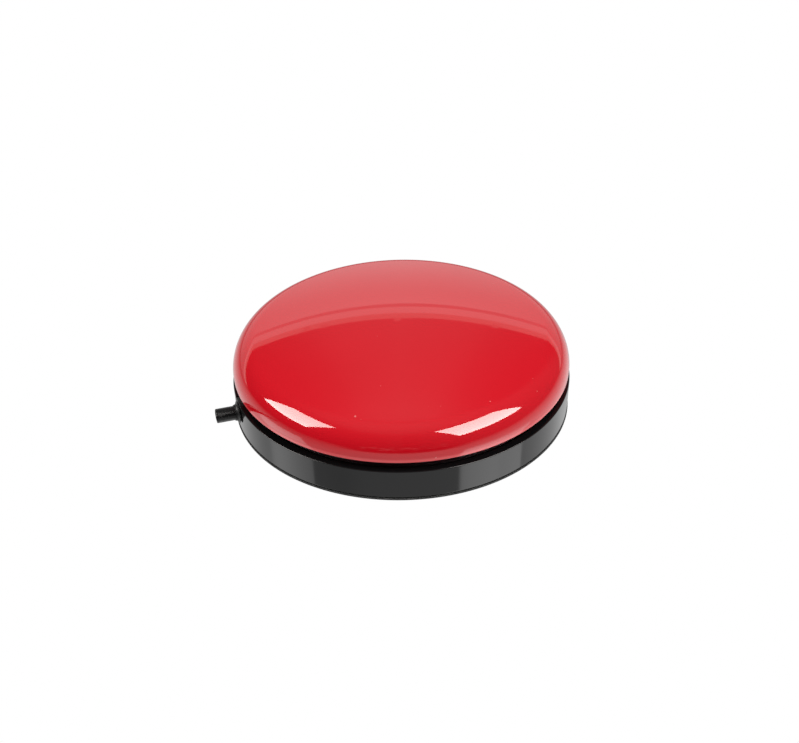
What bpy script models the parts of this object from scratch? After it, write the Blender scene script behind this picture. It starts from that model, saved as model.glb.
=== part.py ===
"""Wired dome switch used as a quiz buzzer: a glossy convex cap that floats on three springs over
a low round base, and works a lever microswitch on a small circuit board.

Origin: centre of the underside, on the surface the object stands on. +Z is up and the lead
leaves along -X. Sizes are in millimetres; mm() and point() turn them into Blender's metres.
R_ is a radius, X_, Y_ and Z_ are places along an axis."""

import itertools
import math

import bmesh
import bpy
from mathutils import Matrix, Vector


def polar(radius, degrees):
    """(x, y) of a point on a circle about the origin."""
    angle = math.radians(degrees)
    return radius * math.cos(angle), radius * math.sin(angle)


# ---------------------------------------------------------------- driving dimensions
# Base
R_WALL_TOP = 32.0        # outer radius of the wall at its top edge
R_WALL_FOOT = 31.72      # the wall has a little draft
Z_FOOT = 0.4             # the wall ends this far above the table, the pad takes the weight
Z_WALL = 6.45            # top edge of the wall
WALL = 1.6               # wall thickness at the top edge
Z_FLOOR = 2.6            # top of the floor
Z_RECESS = 1.15          # ceiling of the pad's recess
R_PAD = 31.8             # the pad's flange shows as a dark line under the wall

# Cap
R_CAP = 31.88            # widest radius
Z_CAP_WIDE = 9.05        # height of the widest circle
R_CORNER = 5.75          # rolled shoulder
CROWN = 9.05             # apex above the widest circle
CAP_SHELL = 1.8
Z_RIM = 8.35             # lower edge

# Pressure plate
Z_PLATE_LOW, Z_PLATE_HIGH = 9.8, 11.2    # flat web
R_SKIRT = 29.5
Z_SKIRT = 5.7            # lower edge of the skirt
Z_PAD_TIP = 12.5         # lowest point of the actuator pad

# Guide screws and springs, and the screws that hold cap and pressure plate together
R_GUIDE = 21.0
GUIDE_ANGLES = (0, 120, 240)
GUIDE_POINTS = [polar(R_GUIDE, angle) for angle in GUIDE_ANGLES]
R_CAPSCREW = 15.0
CAPSCREW_POINTS = [polar(R_CAPSCREW, angle) for angle in (60, 180, 300)]

# Return springs
R_SPRING, R_SPRING_WIRE = 2.9, 0.25
Z_SPRING_LOW, Z_SPRING_HIGH = 5.42, 9.68
END_TURNS, END_PITCH = 0.85, 0.6         # closed coils at each end
MID_TURNS = 2.6                          # open coils between
SPRING_SEGMENTS = 48

# Circuit board, as (x, y) places
PILLARS = ((4.4, 5.6), (-12.0, -5.6))    # board screws
PEGS = ((4.4, -5.6), (-12.0, 5.6))       # locating pegs
PIN_COM, PIN_NO, PIN_NC = (-8.0, 0.0), (1.9, 0.0), (-1.6, 1.6)
WIRE_X, WIRE_Y = -12.2, 2.2              # solder holes of the two cores, at +Y and -Y

# Microswitch
SWITCH_X0, SWITCH_X1, SWITCH_Y = -9.4, 3.4, 2.9    # ends and half width of the case
SWITCH_WALL = 0.7
SWITCH_BEVEL = 0.15
X_PIVOT, Z_PIVOT = -8.4, 11.5            # lever pivot
Z_LEVER_MID = 12.2                       # lever strip's height above the object's centre
X_PLUNGER = -4.5
X_CONTACT = 1.5                          # the three contact buttons share this place
X_BLADE = -7.4
Z_BLADE_LOW, Z_BLADE_HIGH = 7.6, 7.75

# Lead
Z_LEAD = 4.0             # axis
R_LEAD, R_LEAD_BORE = 1.35, 0.75
X_LEAD_END = -36.2       # the lead is cut here
X_JACKET_IN = -19.5      # the jacket is stripped back to here inside
R_CORE = 0.31
Y_CORE = 0.36            # each core's offset inside the jacket
CLAMP_X, CLAMP_Y = -23.0, 4.2
CLAMP_POINTS = ((CLAMP_X, -CLAMP_Y), (CLAMP_X, CLAMP_Y))

SHARP_ANGLE = math.radians(35)           # steeper edges are shaded sharp
MM = 0.001                               # metres in a millimetre


def mm(length):
    return length * MM


def point(x, y, z):
    return Vector((x, y, z)) * MM


for old in list(bpy.data.objects):
    bpy.data.objects.remove(old, do_unlink=True)
scene_objects = bpy.context.scene.collection.objects


# ---------------------------------------------------------------- materials
def material(name, colour, roughness, metallic=0.0):
    made = bpy.data.materials.new(name)
    made.use_nodes = True
    shader = made.node_tree.nodes["Principled BSDF"].inputs
    shader["Base Color"].default_value = (*colour, 1.0)
    shader["Roughness"].default_value = roughness
    shader["Metallic"].default_value = metallic
    return made


RED = material("gloss_red_abs", colour=(0.62, 0.012, 0.02), roughness=0.08)
BLACK = material("gloss_black_abs", colour=(0.018, 0.018, 0.019), roughness=0.18)
SATIN = material("satin_black_abs", colour=(0.02, 0.02, 0.021), roughness=0.45)
RUBBER = material("black_rubber", colour=(0.025, 0.025, 0.025), roughness=0.8)
PVC = material("black_pvc", colour=(0.02, 0.02, 0.02), roughness=0.5)
STEEL = material("zinc_steel", colour=(0.62, 0.62, 0.6), roughness=0.3, metallic=1.0)
SPRING = material("spring_steel", colour=(0.55, 0.55, 0.56), roughness=0.25, metallic=1.0)
BRASS = material("silvered_brass", colour=(0.75, 0.66, 0.4), roughness=0.3, metallic=1.0)
BOARD = material("green_board", colour=(0.02, 0.2, 0.07), roughness=0.4)
CASE = material("switch_case", colour=(0.03, 0.03, 0.035), roughness=0.5)
WHITE = material("white_nylon", colour=(0.8, 0.8, 0.76), roughness=0.5)
CORE_WHITE = material("core_white", colour=(0.8, 0.8, 0.78), roughness=0.5)
CORE_BLACK = material("core_black", colour=(0.03, 0.03, 0.03), roughness=0.5)

# ---------------------------------------------------------------- joint frames (empties)
frame_points = {}        # place of each frame in the object's own axes, metres


def origin_of(parent):
    return frame_points[parent.name] if parent else Vector()


def frame(name, x, z, parent=None):
    """An empty on the plane y = 0."""
    made = bpy.data.objects.new(name, None)
    scene_objects.link(made)
    made.empty_display_size = 0.005
    made.parent = parent
    frame_points[name] = point(x, 0, z)
    made.location = frame_points[name] - origin_of(parent)
    return made


base = frame("frame_base", 0, 0)
press = frame("frame_press", 0, Z_PAD_TIP, base)
rock_side = frame("frame_rock_side", 0, Z_PAD_TIP, press)
rock_front = frame("frame_rock_front", 0, Z_PAD_TIP, rock_side)
lever_axis = frame("frame_lever", X_PIVOT, Z_PIVOT, base)
plunger_axis = frame("frame_plunger", X_PLUNGER, Z_PIVOT, base)
blade_axis = frame("frame_blade", X_BLADE, (Z_BLADE_LOW + Z_BLADE_HIGH) / 2, base)


# ---------------------------------------------------------------- shapes, as bmeshes
def spun(profile, steps, closed=False):
    """A solid of revolution about Z from (radius, z) points. An open profile ends on the axis."""
    bm = bmesh.new()
    ring = [bm.verts.new(point(r, 0, z)) for r, z in profile]
    edges = [bm.edges.new(pair) for pair in zip(ring[:-1], ring[1:])]
    if closed:
        edges.append(bm.edges.new((ring[-1], ring[0])))
    bmesh.ops.spin(
        bm, geom=ring + edges, cent=(0, 0, 0), axis=(0, 0, 1),
        angle=2 * math.pi, steps=steps, use_merge=True,
    )
    bmesh.ops.remove_doubles(bm, verts=bm.verts, dist=1e-7)
    return bm


def moved(bm, x, y, z):
    bmesh.ops.translate(bm, verts=bm.verts, vec=point(x, y, z))
    return bm


def turned(bm, degrees, axis, at=(0, 0, 0)):
    """Rotates a shape about the origin, then moves it."""
    turn = Matrix.Rotation(math.radians(degrees), 3, axis)
    bmesh.ops.rotate(bm, verts=bm.verts, cent=(0, 0, 0), matrix=turn)
    return moved(bm, *at)


def box(x0, x1, y0, y1, z0, z1):
    bm = bmesh.new()
    bmesh.ops.create_cube(bm, size=1.0)
    bmesh.ops.scale(bm, verts=bm.verts, vec=point(x1 - x0, y1 - y0, z1 - z0))
    return moved(bm, (x0 + x1) / 2, (y0 + y1) / 2, (z0 + z1) / 2)


def rod(radius, z0, z1, steps, at=(0, 0)):
    return moved(spun([(0, z0), (radius, z0), (radius, z1), (0, z1)], steps), *at, 0)


def prism(outline, z0, z1):
    """A flat outline of (x, y) points, extruded along Z."""
    bm = bmesh.new()
    face = bm.faces.new([bm.verts.new(point(x, y, z0)) for x, y in outline])
    top = bmesh.ops.extrude_face_region(bm, geom=[face])["geom"]
    top_verts = [part for part in top if isinstance(part, bmesh.types.BMVert)]
    bmesh.ops.translate(bm, verts=top_verts, vec=point(0, 0, z1 - z0))
    return bm


def bevelled(bm, width):
    """Chamfers every edge of a box."""
    bmesh.ops.bevel(
        bm, geom=list(bm.edges), offset=mm(width), segments=1,
        profile=0.5, affect="EDGES", clamp_overlap=True,
    )
    return bm


def on_lead(bm):
    """Lays a shape made about Z along the lead's axis: its +Z becomes -X."""
    return turned(bm, -90, "Y", (0, 0, Z_LEAD))


def on_pivot(radius, half_length, steps=10):
    """A rod along Y on the lever's pivot."""
    upright = rod(radius, -half_length, half_length, steps)
    return turned(upright, 90, "X", (X_PIVOT, 0, Z_PIVOT))


def arc(centre_r, centre_z, radius, start, end, steps):
    """steps + 1 (radius, z) points of an arc between two angles in degrees."""
    points = []
    for i in range(steps + 1):
        angle = math.radians(start + (end - start) * i / steps)
        points.append((centre_r + radius * math.cos(angle), centre_z + radius * math.sin(angle)))
    return points


def bezier(p0, p1, p2, p3, steps):
    """steps + 1 points of a cubic Bezier curve."""
    points = []
    for i in range(steps + 1):
        t = i / steps
        u = 1 - t
        weights = (u**3, 3 * u * u * t, 3 * u * t * t, t**3)
        points.append([sum(w * c for w, c in zip(weights, axis)) for axis in zip(p0, p1, p2, p3)])
    return points


# ---------------------------------------------------------------- objects
def link(name, data, parent):
    ob = bpy.data.objects.new(name, data)
    scene_objects.link(ob)
    ob.parent = parent
    return ob


def place(name, bm, mat, parent=None):
    """Turns a shape into an object whose origin is its parent's frame."""
    bmesh.ops.translate(bm, verts=bm.verts, vec=-origin_of(parent))
    bmesh.ops.recalc_face_normals(bm, faces=bm.faces)
    mesh = bpy.data.meshes.new(name)
    bm.to_mesh(mesh)
    bm.free()
    mesh.materials.append(mat)
    mesh.shade_smooth()
    mesh.set_sharp_from_angle(angle=SHARP_ANGLE)
    return link(name, mesh, parent)


def boolean(ob, bm, operation, tool_name, modifier_name, mat=BLACK):
    """Adds a Boolean whose shape is held by a hidden helper, and returns the helper."""
    tool = place(tool_name, bm, mat)
    tool.hide_render = True
    tool.display_type = "WIRE"
    modifier = ob.modifiers.new(modifier_name, "BOOLEAN")
    modifier.object = tool
    modifier.operation = operation
    modifier.solver = "EXACT"
    return tool


tool_numbers = itertools.count(1)


def cut(ob, bm):
    number = next(tool_numbers)
    boolean(ob, bm, "DIFFERENCE", f"tool_{number:03d}", f"difference_{number:03d}")


def add(ob, bm):
    number = next(tool_numbers)
    boolean(ob, bm, "UNION", f"tool_{number:03d}", f"union_{number:03d}")


def cut_rods(ob, points, radius, z0, z1, steps):
    for at in points:
        cut(ob, rod(radius, z0, z1, steps, at))


def add_rods(ob, points, radius, z0, z1, steps):
    for at in points:
        add(ob, rod(radius, z0, z1, steps, at))


def wire(name, points, radius, mat, parent):
    """A round wire along a list of points, as a bevelled curve with filled ends."""
    curve = bpy.data.curves.new(name, "CURVE")
    curve.dimensions = "3D"
    curve.bevel_depth = mm(radius)
    curve.bevel_resolution = 1
    curve.use_fill_caps = True
    curve.twist_mode = "MINIMUM"
    spline = curve.splines.new("POLY")
    spline.points.add(len(points) - 1)
    for target, source in zip(spline.points, points):
        target.co = (*(point(*source) - origin_of(parent)), 1.0)
    spline.use_smooth = True
    curve.materials.append(mat)
    link(name, curve, parent)


# ---------------------------------------------------------------- floating parts
def build_button_cap():
    """Crown arc, rolled shoulder and short rim, with three screw bosses inside."""
    corner_r = R_CAP - R_CORNER                      # centre circle of the shoulder
    crown_r = (corner_r**2 + CROWN**2 - R_CORNER**2) / (2 * (CROWN - R_CORNER))
    apex = Z_CAP_WIDE + CROWN
    crown_z = apex - crown_r
    join = math.degrees(math.atan2(Z_CAP_WIDE - crown_z, corner_r))    # crown meets shoulder
    outer = (
        [(0.0, apex)]
        + arc(0, crown_z, crown_r, 90, join, 5)[1:]
        + arc(corner_r, Z_CAP_WIDE, R_CORNER, join, 0, 6)[1:]
    )
    rim = [
        (R_CAP - 0.01, Z_RIM + 0.12), (R_CAP - 0.1, Z_RIM),
        (R_CAP - CAP_SHELL + 0.3, Z_RIM), (R_CAP - CAP_SHELL, Z_RIM + 0.3),
    ]
    inner = (
        arc(corner_r, Z_CAP_WIDE, R_CORNER - CAP_SHELL, 0, join, 4)
        + arc(0, crown_z, crown_r - CAP_SHELL, join, 90, 4)[1:-1]
        + [(0.0, apex - CAP_SHELL)]
    )
    cap = place("button_cap", spun(outer + rim + inner, 56), RED, rock_front)
    add_rods(cap, CAPSCREW_POINTS, 2.4, Z_PLATE_HIGH + 0.15, 15.9, 18)
    cut_rods(cap, CAPSCREW_POINTS, 1.1, Z_PLATE_HIGH - 1.0, 14.4, 12)


def build_pressure_plate():
    """Raised hub, flat web, and a skirt that dips inside the base wall."""
    profile = [          # (radius, z)
        (0.0, 15.2), (11.2, 15.2), (11.8, 14.6), (11.9, Z_PLATE_HIGH),
        (28.4, Z_PLATE_HIGH), (29.25, 10.25), (R_SKIRT, 9.6),
        (R_SKIRT, Z_SKIRT + 0.2), (R_SKIRT - 0.2, Z_SKIRT), (28.3, Z_SKIRT),
        (28.1, Z_SKIRT + 0.2), (28.1, Z_PLATE_LOW - 0.4), (27.7, Z_PLATE_LOW),
        (10.6, Z_PLATE_LOW), (10.5, 13.6), (10.0, 14.0), (0.0, 14.0),
    ]
    plate = place("pressure_plate", spun(profile, 48), SATIN, rock_front)
    for k in range(6):   # stiffening ribs on the web
        add(plate, turned(box(11.4, 27.6, -0.6, 0.6, 10.8, 12.2), 30 + 60 * k, "Z"))
    add_rods(plate, GUIDE_POINTS, 2.3, 6.95, 13.2, 16)         # posts of the guide screws
    cut_rods(plate, GUIDE_POINTS, 1.2, 6.0, 12.5, 12)
    cut_rods(plate, CAPSCREW_POINTS, 1.3, 9.0, 12.0, 12)       # clearance holes
    cut(plate, rod(1.0, 13.0, 16.0, 12))                       # hole of the actuator pad
    cut(plate, box(-31.0, -27.0, -3.3, 3.3, 5.0, 8.4))         # notch over the lead


def build_actuator_pad():
    """Push-in rubber bumper with a rounded tip."""
    profile = [          # (radius, z)
        (0, Z_PAD_TIP), (0.8, Z_PAD_TIP + 0.12), (1.6, 12.95), (2.1, 13.5), (2.1, 13.85),
        (0.88, 13.85), (0.88, 15.35), (1.35, 15.35), (0.7, 16.0), (0, 16.0),
    ]
    place("actuator_pad", spun(profile, 16), RUBBER, rock_side)


# ---------------------------------------------------------------- base
def build_base_housing():
    inside = R_WALL_TOP - WALL
    profile = [          # (radius, z)
        (0.0, Z_RECESS), (29.2, Z_RECESS), (29.2, Z_FOOT), (R_WALL_FOOT - 0.45, Z_FOOT),
        (R_WALL_FOOT - 0.12, Z_FOOT + 0.14), (R_WALL_FOOT, Z_FOOT + 0.5),
        (R_WALL_TOP, Z_WALL - 0.2), (R_WALL_TOP - 0.05, Z_WALL - 0.06),
        (R_WALL_TOP - 0.2, Z_WALL), (inside + 0.15, Z_WALL), (inside, Z_WALL - 0.15),
        (inside - 0.15, Z_FLOOR + 0.8), (inside - 0.9, Z_FLOOR), (0.0, Z_FLOOR),
    ]
    housing = place("base_housing", spun(profile, 64), BLACK, base)
    add_rods(housing, GUIDE_POINTS, 4.2, 1.6, 5.3, 24)         # spring seats
    add_rods(housing, PILLARS + PEGS, 2.0, 2.0, 3.4, 12)       # board supports
    add_rods(housing, PEGS, 0.8, 3.0, 4.8, 10)
    add_rods(housing, CLAMP_POINTS, 1.8, 2.0, 4.9, 12)
    for at in GUIDE_POINTS:
        cut(housing, rod(3.25, -1.0, 3.6, 20, at))             # room for the screw head
        cut(housing, rod(1.8, 3.0, 6.5, 16, at))               # bore of the screw's shoulder
    cut_rods(housing, PILLARS, 0.98, 1.95, 4.5, 10)
    cut_rods(housing, CLAMP_POINTS, 0.88, 2.3, 5.5, 10)
    # U-shaped notch for the strain relief, open at the top edge
    notch_r = 1.75
    cut(housing, on_lead(rod(notch_r, 27.5, 34.0, 16)))
    cut(housing, box(-34.0, -27.5, -notch_r, notch_r, Z_LEAD, 8.0))


def build_bottom_pad():
    """Non-slip pad in the recess of the underside."""
    profile = [          # (radius, z)
        (0, 0), (31.65, 0), (R_PAD, 0.15), (R_PAD, 0.38), (29.0, 0.38), (29.0, 1.0), (0, 1.0),
    ]
    pad = place("bottom_pad", spun(profile, 64), RUBBER, base)
    cut_rods(pad, GUIDE_POINTS, 3.6, -1.0, 2.0, 20)


# ---------------------------------------------------------------- fasteners
def screw_mesh(name, head_r, head_h, thread_r, thread_l, drive, shoulder_r=0, shoulder_l=0,
               steps=12):
    """A pan-head screw, head below z = 0 and shank above. drive is half the cross's width."""
    profile = [(0, -head_h), (head_r * 0.72, -head_h), (head_r, -head_h * 0.55), (head_r, 0)]
    if shoulder_l:
        profile += [(shoulder_r, 0), (shoulder_r, shoulder_l)]
    tip = shoulder_l + thread_l
    profile += [(thread_r, shoulder_l), (thread_r, tip - thread_r), (thread_r * 0.3, tip), (0, tip)]
    arm = 0.28 * drive   # half width of one arm of the cross
    cross = [
        (-arm, -drive), (arm, -drive), (arm, -arm), (drive, -arm), (drive, arm), (arm, arm),
        (arm, drive), (-arm, drive), (-arm, arm), (-drive, arm), (-drive, -arm), (-arm, -arm),
    ]
    body = place(name + "_body", spun(profile, steps), STEEL)
    socket = prism(cross, -head_h - 0.5, -head_h * 0.45)
    cutter = boolean(body, socket, "DIFFERENCE", name + "_cross", "drive", STEEL)
    bpy.context.view_layer.update()
    evaluated = body.evaluated_get(bpy.context.evaluated_depsgraph_get())
    mesh = bpy.data.meshes.new_from_object(evaluated)
    mesh.name = name
    bpy.data.objects.remove(body)
    bpy.data.objects.remove(cutter)
    return mesh


def build_screws(name, points, z, parent, head_up=False, **sizes):
    """A set of screws that share a mesh, with the underside of each head at z."""
    mesh = screw_mesh(name, **sizes)
    for i, at in enumerate(points, 1):
        screw = link(f"{name}_{i}", mesh, parent)
        screw.location = point(*at, z) - origin_of(parent)
        if head_up:
            screw.rotation_euler = (math.pi, 0, 0)


def build_fasteners():
    build_screws(
        "guide_screw", GUIDE_POINTS, 3.05, rock_front, head_r=2.7, head_h=1.3,
        shoulder_r=1.5, shoulder_l=3.8, thread_r=1.1, thread_l=5.2, drive=1.5, steps=16,
    )
    build_screws(
        "cap_screw", CAPSCREW_POINTS, 9.65, rock_front,
        head_r=1.9, head_h=1.2, thread_r=1.0, thread_l=4.5, drive=1.0,
    )
    build_screws(
        "board_screw", PILLARS, 4.4, base, head_up=True,
        head_r=1.8, head_h=1.0, thread_r=0.88, thread_l=2.2, drive=0.95,
    )
    build_screws(
        "clamp_screw", CLAMP_POINTS, 6.3, base, head_up=True,
        head_r=1.6, head_h=0.9, thread_r=0.78, thread_l=3.6, drive=0.85,
    )


# ---------------------------------------------------------------- return springs
def spring_height(turn):
    """Height of the wire's axis above its start after so many turns."""
    total = Z_SPRING_HIGH - Z_SPRING_LOW - 2 * R_SPRING_WIRE
    mid_pitch = (total - 2 * END_TURNS * END_PITCH) / MID_TURNS
    mid = min(max(turn - END_TURNS, 0), MID_TURNS)
    return (turn - mid) * END_PITCH + mid * mid_pitch


def build_springs():
    turns = 2 * END_TURNS + MID_TURNS
    for i, (angle, (centre_x, centre_y)) in enumerate(zip(GUIDE_ANGLES, GUIDE_POINTS), 1):
        points = []
        for k in range(SPRING_SEGMENTS + 1):
            turn = turns * k / SPRING_SEGMENTS
            x, y = polar(R_SPRING, 360 * turn + angle)
            z = Z_SPRING_LOW + R_SPRING_WIRE + spring_height(turn)
            points.append((centre_x + x, centre_y + y, z))
        wire(f"return_spring_{i}", points, R_SPRING_WIRE, SPRING, press)


# ---------------------------------------------------------------- circuit board
def build_circuit_board():
    board = place("circuit_board", box(-14.5, 7.0, -8.0, 8.0, 3.5, 4.3), BOARD, base)
    holes = (            # places, radius
        ((PIN_COM, PIN_NO, PIN_NC), 0.48),
        (((WIRE_X, WIRE_Y), (WIRE_X, -WIRE_Y)), 0.45),
        (PILLARS + PEGS, 1.05),
    )
    for points, radius in holes:
        cut_rods(board, points, radius, 3.0, 6.0, 10)


# ---------------------------------------------------------------- microswitch
def switch_shell(name, z0, z1):
    outside = box(SWITCH_X0, SWITCH_X1, -SWITCH_Y, SWITCH_Y, z0, z1)
    return place(name, bevelled(outside, SWITCH_BEVEL), CASE, base)


def switch_cavity(z0, z1):
    half_width = SWITCH_Y - SWITCH_WALL
    return box(
        SWITCH_X0 + SWITCH_WALL, SWITCH_X1 - SWITCH_WALL, -half_width, half_width, z0, z1
    )


def build_switch_case():
    case = switch_shell("microswitch_case", 4.4, 8.6)
    cut(case, switch_cavity(5.1, 10.0))
    for x, y in (PIN_COM, PIN_NO, PIN_NC):
        cut(case, box(x - 0.42, x + 0.42, y - 0.32, y + 0.32, 4.0, 5.6))


def build_switch_cover():
    cover = switch_shell("microswitch_cover", 8.7, 10.6)
    for y in (-2.75, 2.0):                           # ears that carry the lever pin
        ear = box(X_PIVOT - 0.9, X_PIVOT + 0.9, 0, 0.75, 10.0, Z_PIVOT + 0.8)
        add(cover, moved(ear, 0, y, 0))
    cut(cover, switch_cavity(8.0, 9.8))
    cut(cover, box(X_PLUNGER - 0.95, X_PLUNGER + 0.95, -1.45, 1.45, 9.0, 11.5))
    cut(cover, on_pivot(0.45, 4.0))
    place("lever_pin", on_pivot(0.37, 2.7), STEEL, base)


def terminal(name, at, top):
    """A square-cut pin from below the board up to a height."""
    x, y = at
    return place(name, box(x - 0.3, x + 0.3, y - 0.2, y + 0.2, 2.85, top), BRASS, base)


def build_contacts():
    contact = [(X_CONTACT, 0)]
    common = terminal("common_terminal", PIN_COM, 7.2)
    add(common, box(-8.35, -7.1, -0.9, 0.9, 7.1, 7.5))         # foot under the blade

    normally_open = terminal("no_terminal", PIN_NO, 6.3)
    add(normally_open, box(0.7, 2.5, -0.9, 0.9, 6.2, 6.5))
    add_rods(normally_open, contact, 0.55, 6.3, 6.75, 10)

    # An L-shaped arm reaches over the blade
    normally_closed = terminal("nc_terminal", PIN_NC, 8.3)
    y = PIN_NC[1]
    add(normally_closed, box(-1.9, 2.3, y - 0.2, y + 0.2, 8.25, 8.6))
    add(normally_closed, box(0.8, 2.3, -0.8, y + 0.1, 8.25, 8.6))
    add_rods(normally_closed, contact, 0.55, 8.05, 8.4, 10)

    strip = box(-7.9, 2.1, -0.75, 0.75, Z_BLADE_LOW, Z_BLADE_HIGH)
    blade = place("snap_blade", strip, BRASS, blade_axis)
    add_rods(blade, contact, 0.5, 7.35, 7.93, 10)


def build_plunger():
    stem = box(X_PLUNGER - 0.8, X_PLUNGER + 0.8, -1.25, 1.25, 8.2, Z_PIVOT + 0.04)
    plunger = place("switch_plunger", stem, WHITE, plunger_axis)
    add(plunger, box(X_PLUNGER - 1.4, X_PLUNGER + 1.4, -1.7, 1.7, 9.0, 9.55))    # collar


def build_lever():
    """A flat strip that rises towards +X from a sleeve on the pivot."""
    rise = math.degrees(math.atan2(Z_LEVER_MID - Z_PIVOT, -X_PIVOT))
    half_width = 1.75
    flat = box(0.3, 12.7, -half_width, half_width, -0.15, 0.15)
    strip = turned(flat, -rise, "Y", (X_PIVOT, 0, Z_PIVOT))
    lever = place("switch_lever", strip, STEEL, lever_axis)
    add(lever, on_pivot(0.75, half_width, steps=14))
    cut(lever, on_pivot(0.45, 3.0))


# ---------------------------------------------------------------- lead
def build_lead_jacket():
    profile = [          # (radius, distance along -X)
        (R_LEAD, -X_LEAD_END), (R_LEAD_BORE, -X_LEAD_END),
        (R_LEAD_BORE, -X_JACKET_IN), (R_LEAD, -X_JACKET_IN),
    ]
    place("lead_jacket", on_lead(spun(profile, 20, closed=True)), PVC, base)


def build_core(name, side, mat):
    """A core from the lead's cut end to its solder hole; side is 1 for +Y and -1 for -Y."""
    y_in = side * Y_CORE
    y_hole = side * WIRE_Y
    stripped = (X_JACKET_IN, y_in, Z_LEAD)
    bend = (-15.2, side * 1.8, 5.2)
    path = [(X_LEAD_END + 0.12, y_in, Z_LEAD)]
    path += bezier(
        stripped, (X_JACKET_IN + 1.6, y_in, Z_LEAD), (-16.9, side * 1.5, 5.0), bend, 6
    )
    path += bezier(
        bend, (-13.5, side * 2.05, 5.4), (WIRE_X, y_hole, 5.5), (WIRE_X, y_hole, 4.6), 5
    )[1:]
    path.append((WIRE_X, y_hole, 2.95))
    wire(name, path, R_CORE, mat, base)


def build_strain_relief():
    flare = (            # (radius, distance along -X)
        [(0, 32.02), (2.1, 32.02), (2.1, 32.1)]
        + arc(2.1, 32.72, 0.6, 268, 185, 4)
        + [(1.5, 32.75), (0, 32.75)]
    )
    relief = place("strain_relief", on_lead(spun(flare, 20)), RUBBER, base)
    neck_r = 1.6         # the neck is round below and square at the top
    add(relief, box(-31.9, -29.0, -neck_r, neck_r, Z_LEAD, 6.35))
    add(relief, on_lead(rod(neck_r, 28.9, 32.3, 16)))
    add(relief, bevelled(box(-29.4, -28.6, -2.4, 2.4, 2.75, 6.3), 0.2))    # inner flange
    cut(relief, on_lead(rod(R_LEAD + 0.03, 26.0, 37.0, 20)))


def build_lead_clamp():
    bar = bevelled(box(CLAMP_X - 1.6, CLAMP_X + 1.6, -6.2, 6.2, 5.0, 6.2), 0.3)
    clamp = place("lead_clamp", bar, SATIN, base)
    cut(clamp, on_lead(rod(R_LEAD + 0.06, 18.0, 28.0, 20)))
    cut_rods(clamp, CLAMP_POINTS, 0.95, 4.0, 7.0, 10)


# Helpers are numbered in building order
build_button_cap()
build_pressure_plate()
build_actuator_pad()
build_base_housing()
build_bottom_pad()
build_fasteners()
build_springs()
build_circuit_board()
build_switch_case()
build_switch_cover()
build_contacts()
build_plunger()
build_lever()
build_lead_jacket()
build_core("core_wire_signal", 1, CORE_WHITE)
build_core("core_wire_return", -1, CORE_BLACK)
build_strain_relief()
build_lead_clamp()
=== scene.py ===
"""Looks of the wired dome switch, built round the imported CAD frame, in a small product studio.

The switch stands on the table at z = 0 with the axis of its dome on Z. The lead leaves towards -X
and the microswitch lies along X under the dome. Shapes are given in mm and built in metres.
"""

import math
from functools import reduce

import bmesh
import bpy
from mathutils import Matrix, Vector


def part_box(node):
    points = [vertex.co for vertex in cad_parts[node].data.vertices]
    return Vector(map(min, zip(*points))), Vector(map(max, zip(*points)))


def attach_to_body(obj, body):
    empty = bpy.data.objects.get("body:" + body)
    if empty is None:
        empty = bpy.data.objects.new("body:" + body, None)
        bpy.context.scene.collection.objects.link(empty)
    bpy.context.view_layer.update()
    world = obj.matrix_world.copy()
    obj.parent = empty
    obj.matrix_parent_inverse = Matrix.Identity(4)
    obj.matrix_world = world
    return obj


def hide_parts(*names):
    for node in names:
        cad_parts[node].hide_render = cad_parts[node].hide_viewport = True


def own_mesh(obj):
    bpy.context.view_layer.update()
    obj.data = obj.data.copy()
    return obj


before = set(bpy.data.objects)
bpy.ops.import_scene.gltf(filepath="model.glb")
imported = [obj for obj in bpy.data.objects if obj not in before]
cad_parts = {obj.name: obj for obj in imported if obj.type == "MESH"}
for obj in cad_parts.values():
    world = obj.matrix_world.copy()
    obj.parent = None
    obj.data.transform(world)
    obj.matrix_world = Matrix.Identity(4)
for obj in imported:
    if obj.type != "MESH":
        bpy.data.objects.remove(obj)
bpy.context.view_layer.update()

MM = 0.001
TURN_STEPS = 240          # steps round the large turned parts


def mm(*values):
    """Metres from mm: a number from one value, a vector from three."""
    return values[0] * MM if len(values) == 1 else Vector(values) * MM


def extent(node):
    """Lowest and highest corner of a CAD node, in mm."""
    low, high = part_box(node)
    return low / MM, high / MM


def polar(radius, degrees):
    angle = math.radians(degrees)
    return radius * math.cos(angle), radius * math.sin(angle)


# ------------------------------------------------------------------ sizes in mm
_, cap_high = extent("button_cap")
base_low, base_high = extent("base_housing")
_, plate_high = extent("pressure_plate")
_, pad_high = extent("bottom_pad")
board_low, board_high = extent("circuit_board")
case_low, case_high = extent("microswitch_case")
jacket_low, jacket_high = extent("lead_jacket")
bumper_low, _ = extent("actuator_pad")
spring_low, spring_high = extent("return_spring_1")

# base: wall, floor and the recess under it
R_WALL_TOP = base_high.y
R_WALL_FOOT = R_WALL_TOP - 0.28
Z_WALL, Z_FOOT = base_high.z, base_low.z
WALL = 1.6
Z_FLOOR, Z_RECESS = 2.6, 1.15
R_PAD, Z_PAD = pad_high.y, pad_high.z

# cap: a shallow crown, a rounded corner and a thin shell
R_CAP = cap_high.y
CAP_SHELL = 1.8
Z_RIM = 8.35
Z_CAP_WIDE = Z_RIM + 0.70
Z_APEX = cap_high.z
R_CORNER = 5.75

# pressure plate
Z_PLATE_LOW, Z_PLATE_HIGH = 9.8, 11.2
R_SKIRT, Z_SKIRT = plate_high.y, 5.7

# lead
Z_LEAD = (jacket_low.z + jacket_high.z) / 2
R_LEAD = (jacket_high.z - jacket_low.z) / 2
R_LEAD_BORE = 0.75
X_LEAD_END, X_JACKET_IN = jacket_low.x, jacket_high.x

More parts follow.
